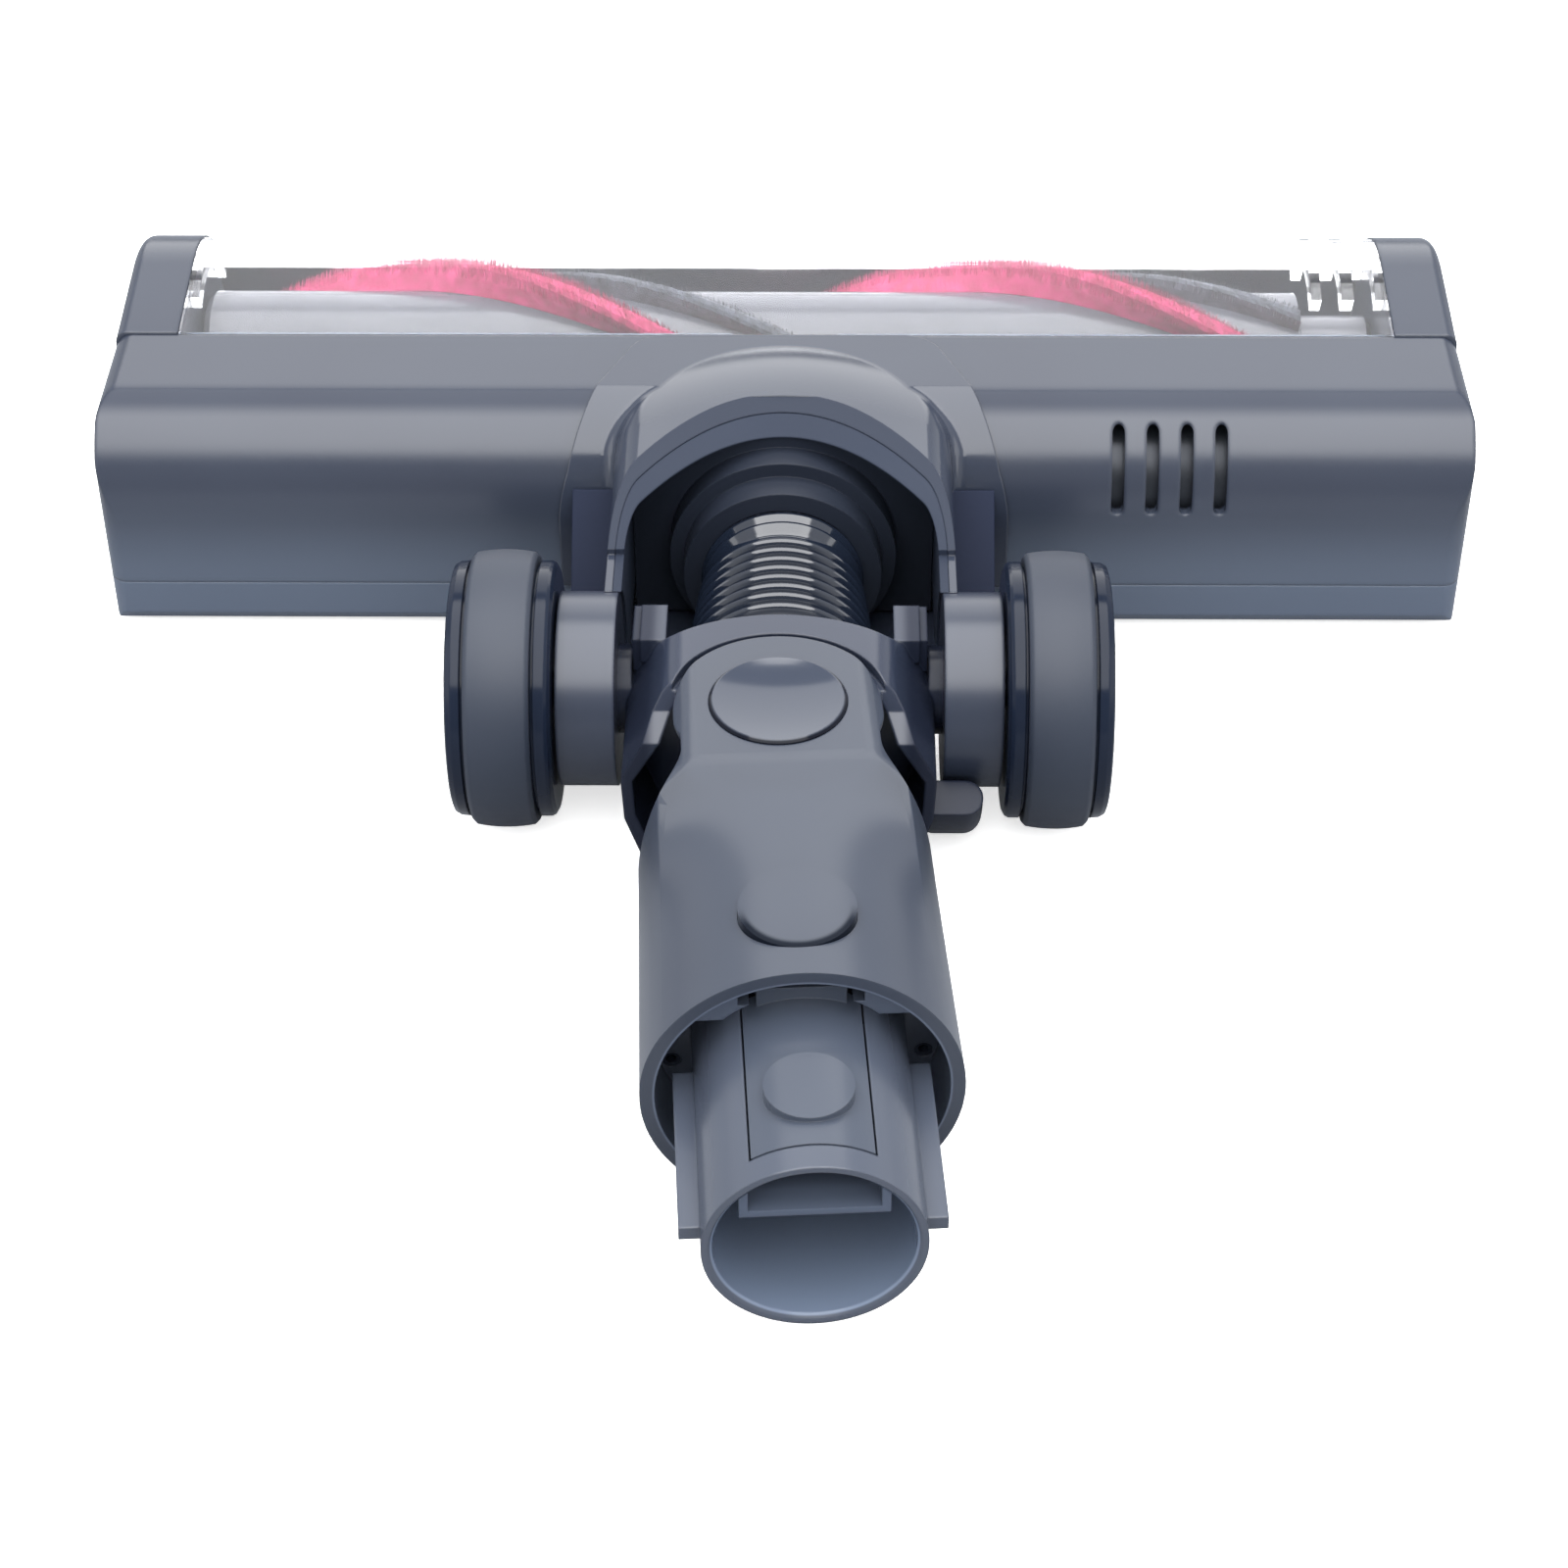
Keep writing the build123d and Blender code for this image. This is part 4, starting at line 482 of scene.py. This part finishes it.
tyre = surface(
    "tyre_rubber", (0.014, 0.019, 0.032), (0.018, 0.024, 0.038), rough=(0.50, 0.58),
    grain=900.0, grain_strength=0.25, edge=0.0008, Specular_IOR_Level=0.42,
)
hose = surface(
    "hose_black_vinyl", (0.006, 0.009, 0.017), (0.009, 0.013, 0.023), rough=(0.08, 0.12),
    grain_strength=0.02, wave_strength=0.03, edge=0.0, Specular_IOR_Level=0.8,
)
steel = surface(
    "brushed_steel", (0.58, 0.58, 0.60), (0.68, 0.68, 0.70), rough=(0.285, 0.36),
    grain=1800.0, grain_strength=0.12, Metallic=1.0,
)
motor = surface(
    "blackened_motor_metal", (0.020, 0.024, 0.032), (0.030, 0.034, 0.044), rough=(0.34, 0.46),
    grain=1500.0, grain_strength=0.15, Metallic=0.4,
)
board = surface(
    "board_lacquer", (0.012, 0.10, 0.045), (0.018, 0.14, 0.06), rough=(0.29, 0.42),
    grain=900.0, grain_strength=0.2,
)
brass = surface(
    "brass_pulley", (0.62, 0.45, 0.18), (0.72, 0.54, 0.25), rough=(0.285, 0.34),
    grain=1600.0, grain_strength=0.1, Metallic=1.0,
)
white = surface(
    "grey_nylon", (0.30, 0.31, 0.33), (0.36, 0.37, 0.39), rough=(0.35, 0.5),
    grain=1400.0, grain_strength=0.1,
)
lock_red = surface(
    "lock_red_plastic", (0.42, 0.018, 0.035), (0.52, 0.025, 0.045), rough=(0.3, 0.42),
    grain=1400.0, grain_strength=0.12, wear=0.3,
)

by_node = {
    graphite: ("rear_housing", "left_end_cap", "right_end_cap"),
    graphite_low: ("lower_housing",),
    graphite_neck: ("neck_base",),
    graphite_tube: ("swivel_tube",),
    graphite_button: ("release_button",),
    graphite_lever: ("latch_lever",),
    graphite_spigot: ("connector_tube",),
    gloss: ("centre_cover",),
    hub_gloss: ("left_wheel_hub", "right_wheel_hub"),
    cap_gloss: ("pivot_cap",),
    liner: ("hood",),
    inner: ("sole_plate", "motor_bracket", "left_support_roller", "right_support_roller"),
    socket_dark: ("contact_sockets", "hose_port"),
    box_matte: ("latch_box",),
    clear: ("clear_window",),
    core: ("brush_core",),
    bristle: ("bristle_strips",),
    soft: ("soft_strips",),
    rubber: ("drive_belt", "wiper_strip"),
    tyre: ("left_wheel_tyre", "right_wheel_tyre"),
    hose: ("air_hose",),
    steel: ("roller_bearings", "motor_shaft", "support_axles", "sole_screws",
            "latch_axle", "latch_spring"),
    motor: ("motor_case", "wheel_axle_pins"),
    board: ("circuit_board",),
    brass: ("motor_pulley",),
    white: ("roller_end_plugs", "roller_pulley"),
    lock_red: ("roller_lock",),
}
for material, names in by_node.items():
    for name in names:
        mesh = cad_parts[name].data
        mesh.materials.clear()
        mesh.materials.append(material)


# Camera: behind and above the head, as in the photograph
def place_camera():
    """A long lens at the photograph's viewing angle."""
    camera = bpy.data.objects.new("camera", bpy.data.cameras.new("camera"))
    bpy.context.scene.collection.objects.link(camera)
    back = Vector((0.010696, -0.765970, 0.642788))
    right = Vector((0.999936, 0.010598, -0.004011)).normalized()
    up = back.cross(right).normalized()
    turn = Matrix((right, up, back)).transposed().to_4x4()
    camera.matrix_world = Matrix.Translation((0.00710, -0.47058, 0.39756)) @ turn
    camera.data.lens = 76.5
    camera.data.sensor_width = 36.0
    camera.data.clip_start = 0.01
    camera.data.clip_end = 50.0
    bpy.context.scene.camera = camera


def area_light(name, place, aim, size, power):
    """A rectangular soft lamp at place, facing aim."""
    data = bpy.data.lights.new(name, "AREA")
    data.shape = "RECTANGLE"
    data.size, data.size_y = size
    data.energy = power
    lamp = bpy.data.objects.new(name, data)
    bpy.context.scene.collection.objects.link(lamp)
    lamp.location = place
    lamp.rotation_mode = "QUATERNION"
    lamp.rotation_quaternion = (Vector(place) - Vector(aim)).to_track_quat("Z", "Y")
    return lamp


def seen_directly(tree):
    """One for rays from the camera, also through clear plastic."""
    ray = add(tree, "ShaderNodeLightPath")
    return maths(tree, "MAXIMUM", ray.outputs["Is Camera Ray"], ray.outputs["Is Transmission Ray"])


def studio_light():
    """Soft studio boxes and a white surround."""
    area_light("overhead", (0.0, -0.33, 1.20), (0.0, -0.33, 0.0), (1.5, 2.22), 60.0)
    area_light("front_box", (0.0, 1.40, 0.72), (0.0, 0.07, 0.05), (1.4, 1.16), 11.5)
    area_light("left_box", (-1.3, -0.15, 0.45), (0.0, -0.05, 0.03), (0.9, 0.7), 3.0)
    area_light("right_box", (1.3, -0.15, 0.45), (0.0, -0.05, 0.03), (0.9, 0.7), 3.0)
    fill = area_light("fill", (0.0, -1.45, 0.40), (0.0, -0.10, 0.03), (1.2, 0.6), 9.0)
    fill.visible_glossy = False
    world = bpy.data.worlds.new("studio")
    bpy.context.scene.world = world
    world.use_nodes = True
    tree = world.node_tree
    tree.nodes.clear()
    place = add(tree, "ShaderNodeTexCoord")
    parts = add(tree, "ShaderNodeSeparateXYZ")
    tree.links.new(place.outputs["Generated"], parts.inputs[0])
    level = remap(tree, maths(tree, "ABSOLUTE", parts.outputs["X"]), 0.28, 0.66, 0.30, 1.10)
    dim = add(tree, "ShaderNodeBackground", {"Color": (0.96, 0.975, 1.0, 1.0)})
    tree.links.new(level, dim.inputs["Strength"])
    shown = add(tree, "ShaderNodeBackground", {"Color": (1.0, 1.0, 1.0, 1.0), "Strength": 1.0})
    both = add(tree, "ShaderNodeMixShader")
    out = add(tree, "ShaderNodeOutputWorld")
    tree.links.new(seen_directly(tree), both.inputs[0])
    tree.links.new(dim.outputs[0], both.inputs[1])
    tree.links.new(shown.outputs[0], both.inputs[2])
    tree.links.new(both.outputs[0], out.inputs[0])


def pale_floor():
    """Plain paper that shows white and is see-through from below."""
    mesh = bpy.data.meshes.new("floor")
    side = 4.0
    mesh.from_pydata(
        [(-side, -side, 0), (side, -side, 0), (side, side, 0), (-side, side, 0)], [], [(0, 1, 2, 3)]
    )
    floor = bpy.data.objects.new("floor", mesh)
    bpy.context.scene.collection.objects.link(floor)
    mat, tree = new_material("floor_paper")
    paper = add(tree, "ShaderNodeBsdfPrincipled", {"Roughness": 0.8})
    tone = mix_colour(tree, noise(tree, 3.0, 2.0), (0.93, 0.93, 0.93), (0.96, 0.96, 0.96))
    tree.links.new(tone, paper.inputs["Base Color"])
    glow = add(tree, "ShaderNodeEmission", {"Color": (1.0, 1.0, 1.0, 1.0), "Strength": 0.62})
    both = add(tree, "ShaderNodeAddShader")
    plain = add(tree, "ShaderNodeMixShader")
    tree.links.new(paper.outputs[0], both.inputs[0])
    tree.links.new(glow.outputs[0], both.inputs[1])
    cloth = add(tree, "ShaderNodeBsdfDiffuse", {"Color": (0.22, 0.23, 0.25, 1.0)})
    haze = add(tree, "ShaderNodeEmission", {"Color": (0.9, 0.95, 1.0, 1.0), "Strength": 0.06})
    table = add(tree, "ShaderNodeAddShader")
    tree.links.new(cloth.outputs[0], table.inputs[0])
    tree.links.new(haze.outputs[0], table.inputs[1])
    tree.links.new(seen_directly(tree), plain.inputs[0])
    tree.links.new(table.outputs[0], plain.inputs[1])
    tree.links.new(both.outputs[0], plain.inputs[2])
    below = add(tree, "ShaderNodeNewGeometry")
    open_side = add(tree, "ShaderNodeBsdfTransparent")
    final = add(tree, "ShaderNodeMixShader")
    tree.links.new(below.outputs["Backfacing"], final.inputs[0])
    tree.links.new(plain.outputs[0], final.inputs[1])
    tree.links.new(open_side.outputs[0], final.inputs[2])
    out = add(tree, "ShaderNodeOutputMaterial")
    tree.links.new(final.outputs[0], out.inputs[0])
    mesh.materials.append(mat)


def mesh_piece(name, points, faces, material, body, smooth=True):
    """A mesh of the builder's own that rides on a body."""
    mesh = bpy.data.meshes.new(name)
    mesh.from_pydata(points, [], faces)
    mesh.update()
    if smooth:
        mesh.polygons.foreach_set("use_smooth", [True] * len(mesh.polygons))
    mesh.materials.append(material)
    made = bpy.data.objects.new(name, mesh)
    bpy.context.scene.collection.objects.link(made)
    if body:
        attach(made, body)
    return made


def strip_frame(x, turn):
    """Middle of the roller at x, with the outward and the sideways direction of a strip."""
    out = Vector((0, math.cos(turn), math.sin(turn)))
    around = Vector((0, -math.sin(turn), math.cos(turn)))
    return Vector((x, ROLLER_Y, ROLLER_Z)), out, around


def strip_turn(x, phase):
    """Angle of a strip at x on the roller."""
    return phase + math.tau * (x - STRIP_START) / STRIP_PITCH


def build_strips(name, phase, tip_r, band_r, half_width, steps, rows, thick, material, seed):
    """Two strips: each a dense band of tufts with thousands of free fibre tips above it."""
    dice = random.Random(seed)
    points, faces = [], []
    length = STRIP_END - STRIP_START
    for strip in range(2):
        base = phase + math.pi * strip
        # Band: rounded across, with a slightly ragged top
        profile = [(-1.0, 0.0), (-1.0, 0.55), (-0.8, 0.88), (-0.35, 1.0), (0.35, 1.0),
                   (0.8, 0.88), (1.0, 0.55), (1.0, 0.0)]
        start = len(points)
        count = 220
        for step in range(count + 1):
            x = STRIP_START + length * step / count
            middle, out, around = strip_frame(x, strip_turn(x, base))
            for across, rise in profile:
                radius = CORE_R - 0.0001 + (band_r - CORE_R) * rise
                radius += dice.uniform(-0.00012, 0.00012) if rise else 0.0
                points.append(middle + out * radius + around * (across * half_width * (0.9 + 0.1 * rise)))
        ring = len(profile)
        for step in range(count):
            for side in range(ring - 1):
                low = start + step * ring + side
                faces.append((low, low + 1, low + ring + 1, low + ring))
        faces.append(tuple(range(start, start + ring)))
        faces.append(tuple(range(start + count * ring, start + count * ring + ring))[::-1])
        # Fibres
        for step in range(steps):
            for row in range(rows):
                x = STRIP_START + length * (step + dice.random()) / steps
                across = (row + dice.uniform(0.1, 0.9)) / rows * 2 - 1
                middle, out, around = strip_frame(x, strip_turn(x, base))
                lean = dice.gauss(0.0, 0.05) + across * 0.10
                twist = dice.gauss(0.0, 0.05)
                tall = tip_r - 0.0001 - abs(dice.gauss(0.0, 0.00035)) - 0.0007 * abs(across) ** 3
                foot = CORE_R + (band_r - CORE_R) * 0.5
                root = middle + out * foot + around * (across * half_width)
                way = (out + around * lean + Vector((1, 0, 0)) * twist).normalized()
                tip = root + way * (tall - foot)
                side = Vector((1, 0, 0)) * thick
                other = around * thick
                first = len(points)
                points += [root + side, root - side * 0.5 + other, root - side * 0.5 - other, tip]
                faces += [(first, first + 1, first + 3), (first + 1, first + 2, first + 3),
                          (first + 2, first, first + 3)]
    return mesh_piece(name, points, faces, material, "brush_roller", smooth=False)


# Corrugated hose: rounded rings on a thin wall, in two lengths that meet inside the neck
def ring_profile(start, end, crest_at, trough):
    """Radius along the hose, with full rings between start and end, both in metres."""
    points = []
    shape = [(-0.5, 0.0), (-0.41, 0.08), (-0.29, 0.46), (-0.17, 0.82), (-0.07, 0.97), (0.0, 1.0),
             (0.07, 0.97), (0.17, 0.82), (0.29, 0.46), (0.41, 0.08)]
    count = round(abs(end - start) / HOSE_PITCH)
    pitch = (end - start) / count
    for ring in range(count):
        middle = start + pitch * (ring + 0.5)
        crest = crest_at(middle)
        for share, rise in shape:
            points.append((middle + share * pitch, crest - trough * (1 - rise)))
    return points


def revolve_hose(name, profile, material, sides=96):
    """A tube turned round the hose axis from (y, radius) pairs, with an inner wall."""
    inside = [(y, radius - 0.0009) for y, radius in reversed(profile)]
    outline = profile + inside
    points, faces = [], []
    for y, radius in outline:
        for side in range(sides):
            turn = math.tau * side / sides
            points.append((radius * math.sin(turn), y, AXLE_Z + radius * math.cos(turn)))
    for row in range(len(outline)):
        after = (row + 1) % len(outline)
        for side in range(sides):
            other = (side + 1) % sides
            faces.append((row * sides + side, row * sides + other,
                          after * sides + other, after * sides + side))
    return mesh_piece(name, points, faces, material, None)


def build_hose():
    """Both lengths of the hose."""
    def crest(y):
        """The rings grow towards the neck."""
        return HOSE_R - 0.0018 * min(1.0, max(0.0, (y - 0.006) / 0.020))

    front = [(0.0341, 0.0146), (0.0334, 0.0152), (0.0326, 0.0152), (0.0320, 0.0142),
             (0.0314, 0.0142), (0.0308, 0.0150), (0.0300, 0.0150), (0.0295, 0.0138),
             (0.0268, 0.0138), (0.0262, 0.0142)]
    front += ring_profile(0.0258, 0.0010, crest, 0.0021)
    front += [(0.0006, 0.0150), (-0.0034, 0.0148)]
    front_piece = revolve_hose("air_hose_front", front, hose)
    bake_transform(front_piece)
    rear = [(-0.0036, 0.0148), (-0.0050, 0.0148)]
    rear += ring_profile(-0.0055, -0.0427, lambda y: 0.0150, 0.0016)
    rear += [(-0.0432, 0.0140), (-0.0440, 0.0140)]
    rear_piece = revolve_hose("air_hose_rear", rear, hose, 72)
    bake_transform(rear_piece)
    for piece in (front_piece, rear_piece):
        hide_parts("air_hose")


bristles = build_strips("bristle_fibres", STRIP_PHASE, BRISTLE_R, 0.0205, 0.0024, 900, 8, 0.00015,
                        bristle, 7)
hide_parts("bristle_strips")
soft_fibres = build_strips("soft_fibres", STRIP_PHASE - math.radians(40), SOFT_R, 0.0180, 0.0017,
                           420, 5, 0.00016, soft, 11)
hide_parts("soft_strips")
build_hose()

place_camera()
studio_light()
pale_floor()
scene = bpy.context.scene
scene.view_settings.view_transform = "Standard"
